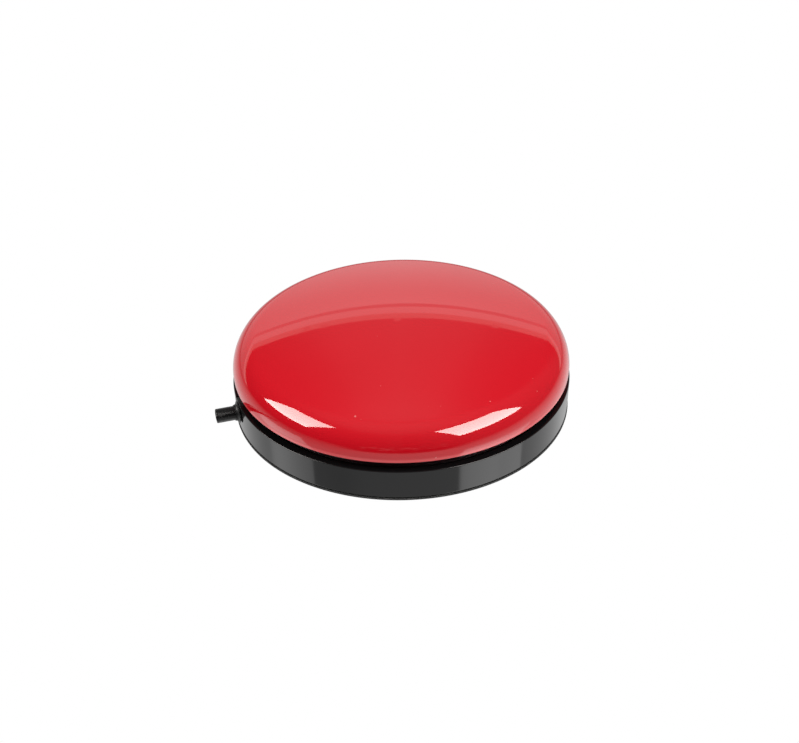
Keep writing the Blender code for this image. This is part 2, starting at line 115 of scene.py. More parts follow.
# places, as (x, y) except the lever pivot
R_GUIDE, R_CAP_SCREW = 21.0, 15.0
GUIDE_ANGLES = (0, 120, 240)
GUIDES = [polar(R_GUIDE, a) for a in GUIDE_ANGLES]
CAP_SCREWS = [polar(R_CAP_SCREW, a) for a in (60, 180, 300)]
PILLARS, PEGS = ((4.4, 5.6), (-12.0, -5.6)), ((4.4, -5.6), (-12.0, 5.6))
CLAMP_X, CLAMP_Y = -23.0, 4.2
CLAMP_SCREWS = [(CLAMP_X, side * CLAMP_Y) for side in (-1, 1)]
PIN_COMMON, PIN_OPEN, PIN_CLOSED = PINS = ((-8.0, 0.0), (1.9, 0.0), (-1.6, 1.6))
WIRE_X, WIRE_Y = -12.2, 2.2
X_PIVOT, Z_PIVOT = -8.4, 11.5
X_PLUNGER = -4.5


# ------------------------------------------------------------------ node kit
class Graph:
    """A node tree under construction. Values may be numbers, tuples or sockets."""

    coord = None                     # texture space used when a pattern is given no vector

    def __init__(self, owner, clear=True):
        owner.use_nodes = True
        self.data = owner
        self.tree = owner.node_tree
        if clear:
            self.tree.nodes.clear()

    def put(self, value, socket):
        if isinstance(value, bpy.types.NodeSocket):
            self.tree.links.new(value, socket)
        elif isinstance(value, tuple) and socket.type == "RGBA":
            socket.default_value = (*value, 1.0)
        else:
            socket.default_value = value

    def node(self, kind, inputs=None, **settings):
        node = self.tree.nodes.new("ShaderNode" + kind)
        for name, value in settings.items():
            setattr(node, name, value)
        for key, value in (inputs or {}).items():
            self.put(value, node.inputs[key])
        return node

    def add(self, kind, inputs=None, output=0, **settings):
        return self.node(kind, inputs, **settings).outputs[output]

    def math(self, operation, a, b=0.0):
        return self.add("Math", {0: a, 1: b}, operation=operation)

    def times(self, *values):
        return reduce(lambda a, b: self.math("MULTIPLY", a, b), values)

    def plus(self, *values):
        return reduce(lambda a, b: self.math("ADD", a, b), values)

    def noise(self, scale, detail=3.0, rough=0.5, vector=None, distortion=0.0):
        inputs = dict(Scale=scale, Detail=detail, Roughness=rough, Distortion=distortion)
        vector = vector or self.coord
        if vector:
            inputs["Vector"] = vector
        return self.add("TexNoise", inputs, "Fac")

    def span(self, value, start, end, low=0.0, high=1.0, smooth=False):
        """Maps start..end to low..high, clamped."""
        inputs = dict(enumerate((value, start, end, low, high)))
        kind = "SMOOTHSTEP" if smooth else "LINEAR"
        return self.add("MapRange", inputs, interpolation_type=kind)

    def curve(self, value, stops, handle):
        """A curve over value in 0..1 through (position, result) stops."""
        first, last = stops[0][0], stops[-1][0]
        top = max(result for _, result in stops)
        node = self.node("FloatCurve", {"Value": value})
        points = node.mapping.curves[0].points
        while len(points) < len(stops):
            points.new(0.5, 0.5)
        for point, (position, result) in zip(points, stops):
            point.location = ((position - first) / (last - first), result / top)
            point.handle_type = handle
        node.mapping.update()
        return self.times(node.outputs[0], top)

    def lookup(self, value, *stops):
        """A value looked up smoothly between (position, result) stops."""
        along = self.span(value, stops[0][0], stops[-1][0])
        return self.curve(along, stops, "AUTO_CLAMPED")

    def angles(self, vector):
        """Azimuth and elevation of a direction in degrees, as heading() counts them."""
        right, ahead, up = [
            self.add("VectorMath", {0: vector, 1: axis}, "Value", operation="DOT_PRODUCT")
            for axis in (heading(90, 0), heading(0, 0), (0, 0, 1))]
        flat = self.math("SQRT", self.plus(self.times(right, right), self.times(ahead, ahead)))
        return [self.times(self.math("ARCTAN2", a, b), 180 / math.pi)
                for a, b in ((right, ahead), (up, flat))]


class Material(Graph):
    """A Principled material. Its texture space is the object's own, in metres."""

    def __init__(self, name, rough=0.4, metallic=0.0, ior=1.5):
        super().__init__(bpy.data.materials.new(name), clear=False)
        self.bsdf = self.tree.nodes["Principled BSDF"]
        self.coord = self.add("TexCoord", output="Object")
        self.set("Roughness", rough)
        self.set("Metallic", metallic)
        self.set("IOR", ior)
        self.normal = None

    def set(self, name, value):
        self.put(value, self.bsdf.inputs[name])

    def voronoi(self, scale):
        return self.node("TexVoronoi", {"Vector": self.coord, "Scale": scale}).outputs

    def streaks(self, stretch, detail=3.0, rough=0.5, turn=(0, 0, 0)):
        """Noise with its own scale along each axis: the lowest number is the long direction."""
        space = self.add("Mapping", dict(Vector=self.coord, Scale=stretch, Rotation=turn))
        return self.noise(scale=1.0, detail=detail, rough=rough, vector=space)

    def specks(self, scale, size, share):
        """Small round dust specks, in a share of the cells of the pattern: 1 inside a speck."""
        cells = self.voronoi(scale)
        red = self.add("SeparateColor", {0: cells["Color"]})
        chosen = self.math("GREATER_THAN", red, 1 - share)
        near = self.span(cells["Distance"], size, size * 0.55)
        return self.times(near, chosen)

    def axis(self, index):
        return self.add("SeparateXYZ", {0: self.coord}, index)

    def mix(self, share, low, high):
        # 6 and 7 are the colour inputs of the node, 2 its colour output
        return self.add("Mix", {"Factor": share, 6: low, 7: high}, 2, data_type="RGBA")

    def tint(self, pattern, low, high):
        self.set("Base Color", self.mix(pattern, low, high))

    def roughen(self, pattern, low, high, start=0.3, end=0.7):
        self.set("Roughness", self.span(pattern, start, end, low, high))

    def bump(self, pattern, depth):
        """Adds relief of a depth in metres on top of the relief so far."""
        inputs = dict(Strength=1.0, Distance=depth, Height=pattern)
        if self.normal:
            inputs["Normal"] = self.normal
        self.normal = self.add("Bump", inputs)
        self.set("Normal", self.normal)


# ------------------------------------------------------------------ materials
def gloss_red():
    mat = Material("gloss_red_abs", rough=0.045, ior=1.62)
    cloud = mat.noise(scale=38, rough=0.55)
    fleck = mat.noise(scale=5200, detail=2.0, rough=0.6)
    colour = mat.mix(cloud, low=(0.60, 0.0012, 0.0085), high=(0.66, 0.0022, 0.0125))
    fleck = mat.span(fleck, start=0.35, end=0.75, high=0.06)
    colour = mat.mix(fleck, low=colour, high=(0.85, 0.05, 0.05))
    dust = mat.math("MAXIMUM", mat.specks(scale=330, size=0.075, share=0.06),
                    mat.specks(scale=900, size=0.08, share=0.04))
    colour = mat.mix(mat.times(dust, 0.55), low=colour, high=(0.72, 0.30, 0.27))
    # painted highlight: the lowest part of the shell, along the rim, is painted a lighter, pinker
    # red
    painted_rim_highlight = mat.span(mat.axis(2), start=mm(Z_RIM + 0.95), end=mm(Z_RIM + 0.40), high=0.85,
                   smooth=True)
    mat.tint(painted_rim_highlight, low=colour, high=(0.88, 0.085, 0.095))
    # handling marks: short straight scratches in two directions, seen only in reflections
    scratch = mat.streaks(stretch=(260, 9000, 3000), detail=1.0, turn=(0, 0, 0.5))
    crossing = mat.streaks(stretch=(8000, 240, 3000), detail=1.0, turn=(0, 0, -0.3))
    marks = mat.math("MAXIMUM", mat.span(scratch, start=0.70, end=0.78),
                     mat.span(crossing, start=0.71, end=0.79))
    smear = mat.noise(scale=70, detail=4.0, rough=0.6, distortion=1.5)
    smear = mat.span(smear, start=0.35, end=0.75, low=0.028, high=0.065)
    rough = mat.plus(smear, mat.times(marks, 0.05))
    mat.set("Roughness", mat.math("MAXIMUM", rough, mat.times(dust, 0.5)))
    mat.bump(mat.noise(scale=430, detail=1.0, rough=0.4), depth=4e-7)      # faint orange peel
    mat.bump(dust, depth=1.2e-5)
    return mat.data


def gloss_black():
    mat = Material("gloss_black_abs", rough=0.07, ior=1.46)
    cloud = mat.noise(scale=50, rough=0.55)
    dust = mat.specks(scale=520, size=0.08, share=0.07)
    colour = mat.mix(cloud, low=(0.0042, 0.0042, 0.0045), high=(0.0075, 0.0075, 0.0078))
    mat.tint(mat.times(dust, 0.35), low=colour, high=(0.16, 0.15, 0.14))
    scratch = mat.streaks(stretch=(300, 300, 12000), detail=1.0, turn=(0.15, 0.1, 0))
    marks = mat.span(scratch, start=0.70, end=0.80)
    smear = mat.noise(scale=90, detail=4.0, rough=0.6, distortion=1.0)
    smear = mat.span(smear, start=0.3, end=0.8, low=0.05, high=0.10)
    mat.set("Roughness", mat.plus(smear, mat.times(marks, 0.05)))
    mat.bump(mat.noise(scale=380, detail=1.0, rough=0.4), depth=5e-7)
    mat.bump(dust, depth=1e-5)
    return mat.data


def satin_black():
    # black plastic; the slight warm tint of its colour is painted red light bounced from the cap
    colour, rough = (0.0275, 0.0190, 0.0210), 0.42
    mat = Material("satin_black_abs", rough=rough, ior=1.48)
    grain = mat.noise(scale=5200, rough=0.65)
    mat.tint(mat.noise(scale=120), low=colour, high=tuple(c * 1.7 for c in colour))
    mat.roughen(grain, low=rough - 0.06, high=rough + 0.1)
    mat.bump(grain, depth=1.2e-5)
    return mat.data


def rubber(name, grey, rough, pore):
    """Dull rubber; pore is the scale of its grain."""
    mat = Material(name, rough=rough, ior=1.45)
    cloud = mat.noise(scale=160, detail=4.0, rough=0.6)
    grain = mat.noise(scale=pore, detail=4.0, rough=0.65)
    pores = mat.span(mat.voronoi(scale=pore * 0.55)["Distance"], start=0.10, end=0.22)
    mat.tint(cloud, low=(grey,) * 3, high=(grey * 2.0,) * 3)
    mat.roughen(grain, low=rough - 0.1, high=rough + 0.12, start=0.25, end=0.75)
    mat.bump(grain, depth=1.2e-5)
    mat.bump(pores, depth=8e-6)
    return mat.data


def relief_rubber():
    mat = Material("relief_rubber", ior=1.37)
    mat.tint(mat.noise(scale=240), low=(0.005, 0.005, 0.005), high=(0.009, 0.009, 0.009))
    mat.roughen(mat.noise(scale=2600), low=0.36, high=0.46)
    mat.bump(mat.noise(scale=3000, rough=0.6), depth=1.2e-6)
    return mat.data


def lead_pvc():
    mat = Material("lead_pvc", rough=0.38, ior=1.37)
    lines = mat.streaks(stretch=(120, 5200, 5200), detail=2.0)      # drawn along the lead
    grain = mat.noise(scale=3200, rough=0.6)
    mat.tint(mat.noise(scale=200), low=(0.004, 0.004, 0.004), high=(0.009, 0.009, 0.009))
    mat.roughen(grain, low=0.25, high=0.33)
    mat.bump(lines, depth=2.2e-6)
    mat.bump(grain, depth=8e-7)
    return mat.data


def zinc_steel():
    mat = Material("zinc_steel", metallic=1.0)
    grain = mat.streaks(stretch=(2500, 2500, 14000), rough=0.6)
    tarnish = mat.noise(scale=900, detail=4.0, rough=0.6)
    mat.tint(tarnish, low=(0.56, 0.57, 0.60), high=(0.70, 0.69, 0.64))
    mat.roughen(grain, low=0.22, high=0.40)
    mat.bump(grain, depth=4e-6)
    return mat.data


def spring_wire():
    mat = Material("spring_wire", metallic=1.0)
    grain = mat.noise(scale=2600, rough=0.6)
    mat.tint(mat.noise(scale=600), low=(0.44, 0.44, 0.45), high=(0.60, 0.60, 0.61))
    mat.roughen(grain, low=0.18, high=0.34)
    mat.bump(grain, depth=3e-6)
    return mat.data


def strip_steel():
    mat = Material("strip_steel", metallic=1.0)
    grain = mat.streaks(stretch=(300, 9000, 9000), rough=0.6)       # rolled along the strip
    mat.tint(mat.noise(scale=700), low=(0.60, 0.60, 0.59), high=(0.72, 0.71, 0.69))
    mat.roughen(grain, low=0.20, high=0.36)
    mat.bump(grain, depth=3e-6)
    return mat.data


def silvered_brass():
    mat = Material("silvered_brass", metallic=1.0)
    worn = mat.span(mat.noise(scale=1400, detail=4.0, rough=0.6), start=0.45, end=0.62)
    mat.tint(worn, low=(0.80, 0.79, 0.75), high=(0.78, 0.60, 0.30))
    grain = mat.streaks(stretch=(9000, 700, 9000), rough=0.6)
    mat.roughen(grain, low=0.22, high=0.40)
    mat.bump(grain, depth=2e-6)
    return mat.data


def solder_mask():
    mat = Material("solder_mask", rough=0.28)
    waves = 9000.0                   # radians per metre of the glass weave
    weave_x, weave_y = [mat.math("SINE", mat.times(mat.axis(k), waves)) for k in (0, 1)]
    weave = mat.span(mat.times(weave_x, weave_y), start=-1.0, end=1.0)
    mat.tint(mat.times(weave, 0.5), low=(0.006, 0.105, 0.035), high=(0.012, 0.17, 0.06))
    mat.roughen(mat.noise(scale=800), low=0.22, high=0.36)
    mat.bump(weave, depth=4e-6)
    return mat.data


def masked_track():
    mat = Material("masked_track", rough=0.25)
    cloud = mat.noise(scale=1500, detail=2.0)
    mat.tint(cloud, low=(0.03, 0.26, 0.09), high=(0.05, 0.32, 0.12))
    mat.bump(mat.noise(scale=2600, detail=2.0), depth=4e-6)
    return mat.data


def solder():
    mat = Material("solder", metallic=1.0)
    mat.tint(mat.noise(scale=1800), low=(0.62, 0.63, 0.65), high=(0.76, 0.76, 0.77))
    mat.roughen(mat.noise(scale=2600), low=0.14, high=0.30)
    mat.bump(mat.noise(scale=1900, detail=2.0), depth=1e-5)
    return mat.data


def switch_plastic():
    mat = Material("switch_plastic")
    fibre = mat.streaks(stretch=(900, 9000, 9000), rough=0.6)       # short glass fibres
    fibre = mat.span(fibre, start=0.5, end=0.8)
    mat.tint(fibre, low=(0.012, 0.012, 0.014), high=(0.035, 0.035, 0.038))
    mat.roughen(mat.noise(scale=3500), low=0.34, high=0.5)
    mat.bump(mat.noise(scale=4200), depth=8e-6)
    return mat.data


def white_nylon():
    mat = Material("white_nylon")
    mat.tint(mat.noise(scale=700), low=(0.74, 0.73, 0.68), high=(0.84, 0.83, 0.79))
    mat.set("Subsurface Weight", 0.15)
    mat.set("Subsurface Radius", (0.0006, 0.0005, 0.0004))
    mat.set("Subsurface Scale", 1.0)
    mat.bump(mat.noise(scale=3800), depth=8e-6)
    return mat.data


def core_plastic(name, low, high):
    mat = Material(name)
    mat.tint(mat.noise(scale=1100), low, high)
    mat.bump(mat.streaks(stretch=(400, 8000, 8000), detail=2.0), depth=6e-6)
    return mat.data


def copper():
    mat = Material("copper", metallic=1.0)
    mat.tint(mat.noise(scale=2500), low=(0.62, 0.30, 0.18), high=(0.80, 0.44, 0.28))
    mat.roughen(mat.noise(scale=5200, detail=2.0), low=0.25, high=0.45)
    return mat.data


RED, BLACK, SATIN = gloss_red(), gloss_black(), satin_black()
PAD_RUBBER = rubber("pad_rubber", grey=0.016, rough=0.74, pore=1100)
TIP_RUBBER = rubber("tip_rubber", grey=0.012, rough=0.66, pore=2200)
RELIEF, PVC, ZINC, WIRE = relief_rubber(), lead_pvc(), zinc_steel(), spring_wire()
STRIP, BRASS, MASK, TRACK = strip_steel(), silvered_brass(), solder_mask(), masked_track()
SOLDER, CASE, NYLON = solder(), switch_plastic(), white_nylon()
CORE_WHITE = core_plastic("core_white", low=(0.70, 0.70, 0.67), high=(0.80, 0.80, 0.77))
CORE_BLACK = core_plastic("core_black", low=(0.012, 0.012, 0.012), high=(0.022, 0.022, 0.022))
COPPER = copper()


# ------------------------------------------------------------------ profiles and paths
def arc(centre_r, centre_z, radius, start, end, steps):
    """Points on an arc between two angles in degrees."""
    points = []
    for i in range(steps + 1):
        angle = math.radians(start + (end - start) * i / steps)
        points.append((centre_r + radius * math.cos(angle), centre_z + radius * math.sin(angle)))
    return points


def filleted(points, steps=5):
    """Rounds each (r, z, fillet) corner by that radius; corners with no fillet stay sharp."""
    near = 0.05         # a point this close to each end of an arc keeps the straight side's shading
    out = []
    for i, point in enumerate(points):
        if len(point) < 3 or not point[2] or i in (0, len(points) - 1):
            out.append((point[0], point[1]))
            continue
        before, corner, after = [Vector(p[:2]) for p in points[i - 1:i + 2]]
        back, ahead = (before - corner).normalized(), (after - corner).normalized()
        half = back.angle(ahead) / 2
        back_length, ahead_length = (before - corner).length, (after - corner).length
        reach = min(point[2] / math.tan(half), 0.49 * back_length, 0.49 * ahead_length)
        radius = reach * math.tan(half)
        centre = corner + (back + ahead).normalized() * radius / math.sin(half)
        first, last = corner + back * reach - centre, corner + ahead * reach - centre
        start, end = math.atan2(first.y, first.x), math.atan2(last.y, last.x)
        sweep = (end - start + math.pi) % (2 * math.pi) - math.pi
        if back_length - reach > 3 * near:
            out.append(tuple(corner + back * (reach + near)))
        for k in range(steps + 1):
            angle = start + sweep * k / steps
            out.append((centre.x + radius * math.cos(angle), centre.y + radius * math.sin(angle)))
        if ahead_length - reach > 3 * near:
            out.append(tuple(corner + ahead * (reach + near)))
    return out


def dense(points, step):
    """Adds points along the long straight stretches of a profile, so that faces stay compact."""
    out = [points[0]]
    for p, q in zip(points[:-1], points[1:]):
        n = max(1, round(math.dist(p, q) / step))
        out += [(p[0] + (q[0] - p[0]) * k / n, p[1] + (q[1] - p[1]) * k / n)
                for k in range(1, n + 1)]
    return out


def bezier(start, handle_a, handle_b, end, steps):
    out = []
    for i in range(steps + 1):
        t = i / steps
        u = 1 - t
        out.append(tuple(u**3 * a + 3 * u * u * t * b + 3 * u * t * t * c + t**3 * d
                         for a, b, c, d in zip(start, handle_a, handle_b, end)))
    return out


# ------------------------------------------------------------------ shape kit
# A shape is a bmesh. The functions take mm and hand the shape on.
def spun(profile, steps, closed=False):
    """Turns (radius, height) points about Z. An open profile starts and ends on the axis."""
    shape = bmesh.new()
    verts = [shape.verts.new(mm(r, 0, z)) for r, z in profile]
    edges = [shape.edges.new(pair) for pair in zip(verts[:-1], verts[1:])]
    if closed:
        edges.append(shape.edges.new((verts[-1], verts[0])))
    bmesh.ops.spin(shape, geom=verts + edges, cent=(0, 0, 0), axis=(0, 0, 1),
                   angle=2 * math.pi, steps=steps, use_merge=True)
    bmesh.ops.remove_doubles(shape, verts=shape.verts, dist=1e-7)
    return shape


def moved(shape, *offset):
    bmesh.ops.translate(shape, verts=shape.verts, vec=mm(*offset))
    return shape


def turned(shape, degrees, axis, at=(0, 0, 0)):
    """Turns a shape about the origin, then moves it."""
    matrix = Matrix.Rotation(math.radians(degrees), 3, axis)
    bmesh.ops.rotate(shape, verts=shape.verts, cent=(0, 0, 0), matrix=matrix)
    return moved(shape, *at)


def lengthwise(shape, y=0, z=Z_LEAD):
    """Lays a shape made along Z down along the lead: height h goes to x = -h."""
    return turned(shape, -90, "Y", (0, y, z))


def crosswise(shape, x, z):
    """Lays a shape made along Z down along Y: height h goes to y = -h."""
    return turned(shape, 90, "X", (x, 0, z))


def box(x0, x1, y0, y1, z0, z1, round_by=0.0, segments=2):
    shape = bmesh.new()
    bmesh.ops.create_cube(shape, size=1.0)
    bmesh.ops.scale(shape, verts=shape.verts, vec=mm(x1 - x0, y1 - y0, z1 - z0))
    moved(shape, (x0 + x1) / 2, (y0 + y1) / 2, (z0 + z1) / 2)
    if round_by:
        bmesh.ops.bevel(shape, geom=list(shape.edges), offset=mm(round_by), segments=segments,
                        profile=0.5, affect="EDGES", clamp_overlap=True)
    return shape


def block(at, half_x, half_y, z0, z1, round_by=0.0, segments=2):
    """A box centred on the place (x, y)."""
    x, y = at
    return box(x - half_x, x + half_x, y - half_y, y + half_y, z0, z1, round_by, segments)


def rod(radius, z0, z1, steps, at=(0, 0), ease=0.0):
    """An upright cylinder, with its two rims eased by a small chamfer when asked."""
    profile = [(0, z0), (radius, z0), (radius, z1), (0, z1)]
    if ease:
        inset, slight = radius - ease, 0.3 * ease
        profile[1:3] = [
            (inset, z0), (radius - slight, z0 + slight), (radius, z0 + ease),
            (radius, z1 - ease), (radius - slight, z1 - slight), (inset, z1)]
    return moved(spun(profile, steps), *at, 0)


def rods(radius, z0, z1, steps, places, ease=0.0):
    return [rod(radius, z0, z1, steps, at, ease) for at in places]


def prism(outline, z0, z1):
    shape = bmesh.new()
    face = shape.faces.new([shape.verts.new(mm(x, y, z0)) for x, y in outline])
    top = bmesh.ops.extrude_face_region(shape, geom=[face])["geom"]
    top_verts = [part for part in top if isinstance(part, bmesh.types.BMVert)]
    bmesh.ops.translate(shape, verts=top_verts, vec=mm(0, 0, z1 - z0))
    return shape


def skin(shape, rings):
    """Joins rings of vertices by faces and closes both ends."""
    count = len(rings[0])
    for low, high in zip(rings[:-1], rings[1:]):
        for k in range(count):
            after = (k + 1) % count
            shape.faces.new((low[k], low[after], high[after], high[k]))
    shape.faces.new(list(reversed(rings[0])))
    shape.faces.new(rings[-1])
    return shape


def tube(path, radius, sides):
    """A round wire swept along points, with frames carried along the path and flat ends."""
    points = [Vector(p) for p in path]
    shape = bmesh.new()
    rings = []
    normal = (points[1] - points[0]).normalized().orthogonal().normalized()
    for i, point in enumerate(points):
        tangent = (points[min(i + 1, len(points) - 1)] - points[max(i - 1, 0)]).normalized()
        normal = (normal - tangent * normal.dot(tangent)).normalized()
        side = tangent.cross(normal)
        ring = []
        for k in range(sides):
            angle = 2 * math.pi * k / sides
            spoke = normal * math.cos(angle) + side * math.sin(angle)
            ring.append(shape.verts.new(mm(*(point + spoke * radius))))
        rings.append(ring)
    return skin(shape, rings)


# ------------------------------------------------------------------ object kit
def mesh_object(name, shape, tidy=True):
    if tidy:
        bmesh.ops.recalc_face_normals(shape, faces=shape.faces)
    mesh = bpy.data.meshes.new(name)
    shape.to_mesh(mesh)
    shape.free()
    obj = bpy.data.objects.new(name, mesh)
    bpy.context.scene.collection.objects.link(obj)
    return obj


def gather(shapes):
    """One shape that holds several separate ones."""
    out = bmesh.new()
    for shape in shapes:
        mesh = bpy.data.meshes.new("gather")
        bmesh.ops.recalc_face_normals(shape, faces=shape.faces)
        shape.to_mesh(mesh)
        shape.free()
        out.from_mesh(mesh)
        bpy.data.meshes.remove(mesh)
    return out


def sealed(mesh):
    """Welds the slivers that a Boolean can leave along a seam, and fills what is still open."""
    weld, sliver = mm(0.004), mm(0.0002)
    for _ in range(3):
        shape = bmesh.new()
        shape.from_mesh(mesh)
        rims = [e for e in shape.edges if len(e.link_faces) != 2]
        if rims:
            rim_verts = list({v for e in rims for v in e.verts})
            bmesh.ops.remove_doubles(shape, verts=rim_verts, dist=weld)
            short = [e for e in shape.edges if e.calc_length() < sliver]
            bmesh.ops.dissolve_degenerate(shape, dist=sliver, edges=short)
            left = [e for e in shape.edges if len(e.link_faces) == 1]
            if left:
                bmesh.ops.holes_fill(shape, edges=left, sides=0)
            bmesh.ops.recalc_face_normals(shape, faces=shape.faces)
            shape.to_mesh(mesh)
        shape.free()


def union(*shapes):
    return "UNION", shapes


def cut(*shapes):
    return "DIFFERENCE", shapes


def solid(name, shape, material, steps=(), smooth=32):
    """Runs union() and cut() steps on a shape and leaves one plain mesh object."""
    obj = mesh_object(name, shape)
    tools = []
    for k, (operation, shapes) in enumerate(steps):
        tool = mesh_object(f"{name}_tool_{k}", gather(shapes))
        tools.append(tool)
        step = obj.modifiers.new(f"step_{k}", "BOOLEAN")
        step.object, step.operation, step.solver = tool, operation, "EXACT"
    if tools:
        bpy.context.view_layer.update()
        depsgraph = bpy.context.evaluated_depsgraph_get()
        mesh = bpy.data.meshes.new_from_object(obj.evaluated_get(depsgraph))
        mesh.name = name
        obj.modifiers.clear()
        old = obj.data
        obj.data = mesh
        bpy.data.meshes.remove(old)
        for tool in tools:
            bpy.data.objects.remove(tool, do_unlink=True)
        sealed(mesh)
    mesh = obj.data
    mesh.materials.clear()
    mesh.materials.append(material)
    mesh.shade_smooth()
    mesh.set_sharp_from_angle(angle=math.radians(smooth))
    return obj


def attach(obj, body, node=None):
    """Lets an object ride a body, and stand for a CAD node when one is named."""
    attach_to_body(obj, body)
    if node:
        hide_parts(node)


def piece(name, shape, material, body, slot, *steps, node=None, smooth=32):
    obj = solid(name, shape, material, steps, smooth)
    attach(obj, body, node)
    return obj


# ------------------------------------------------------------------ cap and pressure plate
def cap():
    """Domed shell with three screw bosses inside."""
    corner_r = R_CAP - R_CORNER
    crown = Z_APEX - Z_CAP_WIDE
    # the crown's sphere touches the rounded corner at the join angle
    crown_r = (corner_r**2 + crown**2 - R_CORNER**2) / (2 * (crown - R_CORNER))
    crown_z = Z_APEX - crown_r
    join = math.degrees(math.atan2(Z_CAP_WIDE - crown_z, corner_r))
    r_inside = R_CAP - CAP_SHELL
    outer = arc(0, crown_z, crown_r, 90, join, 40)
    outer += arc(corner_r, Z_CAP_WIDE, R_CORNER, join, 0, 34)[1:]
    outer[0] = (0.0, Z_APEX)
    rim = filleted([
        (R_CAP, Z_CAP_WIDE), (R_CAP - 0.04, Z_RIM, 0.12), (r_inside + 0.3, Z_RIM, 0.2),
        (r_inside, Z_RIM + 0.3, 0.2), (r_inside, Z_CAP_WIDE)])[1:-1]
    inner = arc(corner_r, Z_CAP_WIDE, R_CORNER - CAP_SHELL, 0, join, 14)
    inner += arc(0, crown_z, crown_r - CAP_SHELL, join, 90, 16)[1:]
    inner[-1] = (0.0, Z_APEX - CAP_SHELL)
    piece("button_cap_shell", spun(outer + rim + inner, TURN_STEPS), RED, "cap", "red_cap",
          union(*rods(2.4, Z_PLATE_HIGH + 0.15, 15.9, 36, CAP_SCREWS)),
          cut(*rods(1.1, Z_PLATE_HIGH - 1.0, 14.4, 24, CAP_SCREWS)),
          node="button_cap")


def pressure_plate():
    """Plate with a raised centre, a skirt, six ribs and three guide posts."""
    profile = dense(filleted([
        (0.0, 15.2), (11.4, 15.2, 0.6), (11.9, Z_PLATE_HIGH, 0.5), (28.55, Z_PLATE_HIGH, 0.5),
        (R_SKIRT, 9.9, 0.6), (R_SKIRT, Z_SKIRT, 0.2), (28.1, Z_SKIRT, 0.2),
        (28.1, Z_PLATE_LOW, 0.4), (10.6, Z_PLATE_LOW, 0.3), (10.4, 14.0, 0.5), (0.0, 14.0),
    ]), 2.0)
    ribs = [turned(box(11.4, 27.6, -0.6, 0.6, 10.8, 12.2, 0.18), 30 + 60 * k, "Z")
            for k in range(6)]
    piece("pressure_plate_moulding", spun(profile, TURN_STEPS), SATIN, "cap", "black_plate",
          union(*ribs, *rods(2.3, 6.95, 13.2, 36, GUIDES, ease=0.2)),
          cut(*rods(1.2, 6.0, 12.5, 24, GUIDES), *rods(1.3, 9.0, 12.0, 24, CAP_SCREWS),
              rod(1.0, 13.0, 16.0, 24),                             # seat of the bumper
              box(-31.0, -27.0, -3.3, 3.3, 5.0, 8.4, 0.3, 3)),      # gap over the lead
          node="pressure_plate")


def bumper():
    """Rubber stud on the axis, necked where the plate holds it."""
    low = bumper_low.z
    profile = filleted([
        (0, low), (1.15, low + 0.02, 0.5), (2.1, 13.4, 0.5), (2.1, 13.85, 0.1),
        (0.88, 13.85), (0.88, 15.35), (1.35, 15.35, 0.1), (0.7, 16.0, 0.25), (0, 16.0)])
    piece("actuator_bumper", spun(profile, 40), TIP_RUBBER, "actuator", "rubber_bumper",
          node="actuator_pad")


# ------------------------------------------------------------------ base housing and pad
def base_housing():
    r_inside = R_WALL_TOP - WALL
    profile = dense(filleted([
        (0.0, Z_RECESS), (29.2, Z_RECESS), (29.2, Z_FOOT, 0.15),
        (R_WALL_FOOT - 0.02, Z_FOOT, 0.35), (R_WALL_TOP, Z_WALL, 0.13),
        (r_inside, Z_WALL, 0.15), (r_inside - 0.15, Z_FLOOR + 0.6, 0.3),
        (r_inside - 0.7, Z_FLOOR, 0.4), (0.0, Z_FLOOR),
    ]), 1.6)
    piece("base_housing_moulding", spun(profile, TURN_STEPS), BLACK, "base", "black_base",
          # guide bosses, board supports and clamp posts
          union(*rods(4.2, 1.6, 5.3, 48, GUIDES, ease=0.2),
                *rods(2.0, 2.0, 3.4, 28, PILLARS + PEGS),
                *rods(1.8, 2.0, 4.9, 28, CLAMP_SCREWS, ease=0.15)),
          union(*rods(0.8, 3.0, 4.8, 24, PEGS, ease=0.2)),
          # wells under the guides, screw holes and the bore for the lead
          cut(*rods(3.25, -1.0, 3.6, 48, GUIDES), *rods(0.98, 1.95, 4.5, 20, PILLARS),
              *rods(0.88, 2.3, 5.5, 20, CLAMP_SCREWS), lengthwise(rod(1.75, 27.5, 34.0, 40))),
          # guide bores, and the bore for the lead opened upwards
          cut(*rods(1.8, 3.0, 6.5, 32, GUIDES), box(-34.0, -27.5, -1.75, 1.75, Z_LEAD, 8.0)),
          node="base_housing")


def bottom_pad():
    """Disc with fine ring grooves on its sole and a step round its edge."""
    groove_pitch, groove_depth = 1.35, 0.14
    profile = [(0.0, 0.0)]
    r = 3.0
    while r < 30.2:
        profile += [(r, 0.0), (r + 0.08, groove_depth), (r + 0.30, groove_depth), (r + 0.38, 0.0)]
        r += groove_pitch
    profile += filleted([
        (30.6, 0.0), (R_PAD, 0.0, 0.12), (R_PAD, 0.38, 0.06), (29.0, 0.38, 0.03),
        (29.0, Z_PAD, 0.12), (27.0, Z_PAD)])[1:]
    profile.append((0.0, Z_PAD))
    piece("bottom_pad_sole", spun(profile, TURN_STEPS), PAD_RUBBER, "base", "rubber_pad",
          cut(*rods(3.6, -1.0, 2.0, 48, GUIDES)), node="bottom_pad")


cap()
pressure_plate()
bumper()
base_housing()
bottom_pad()

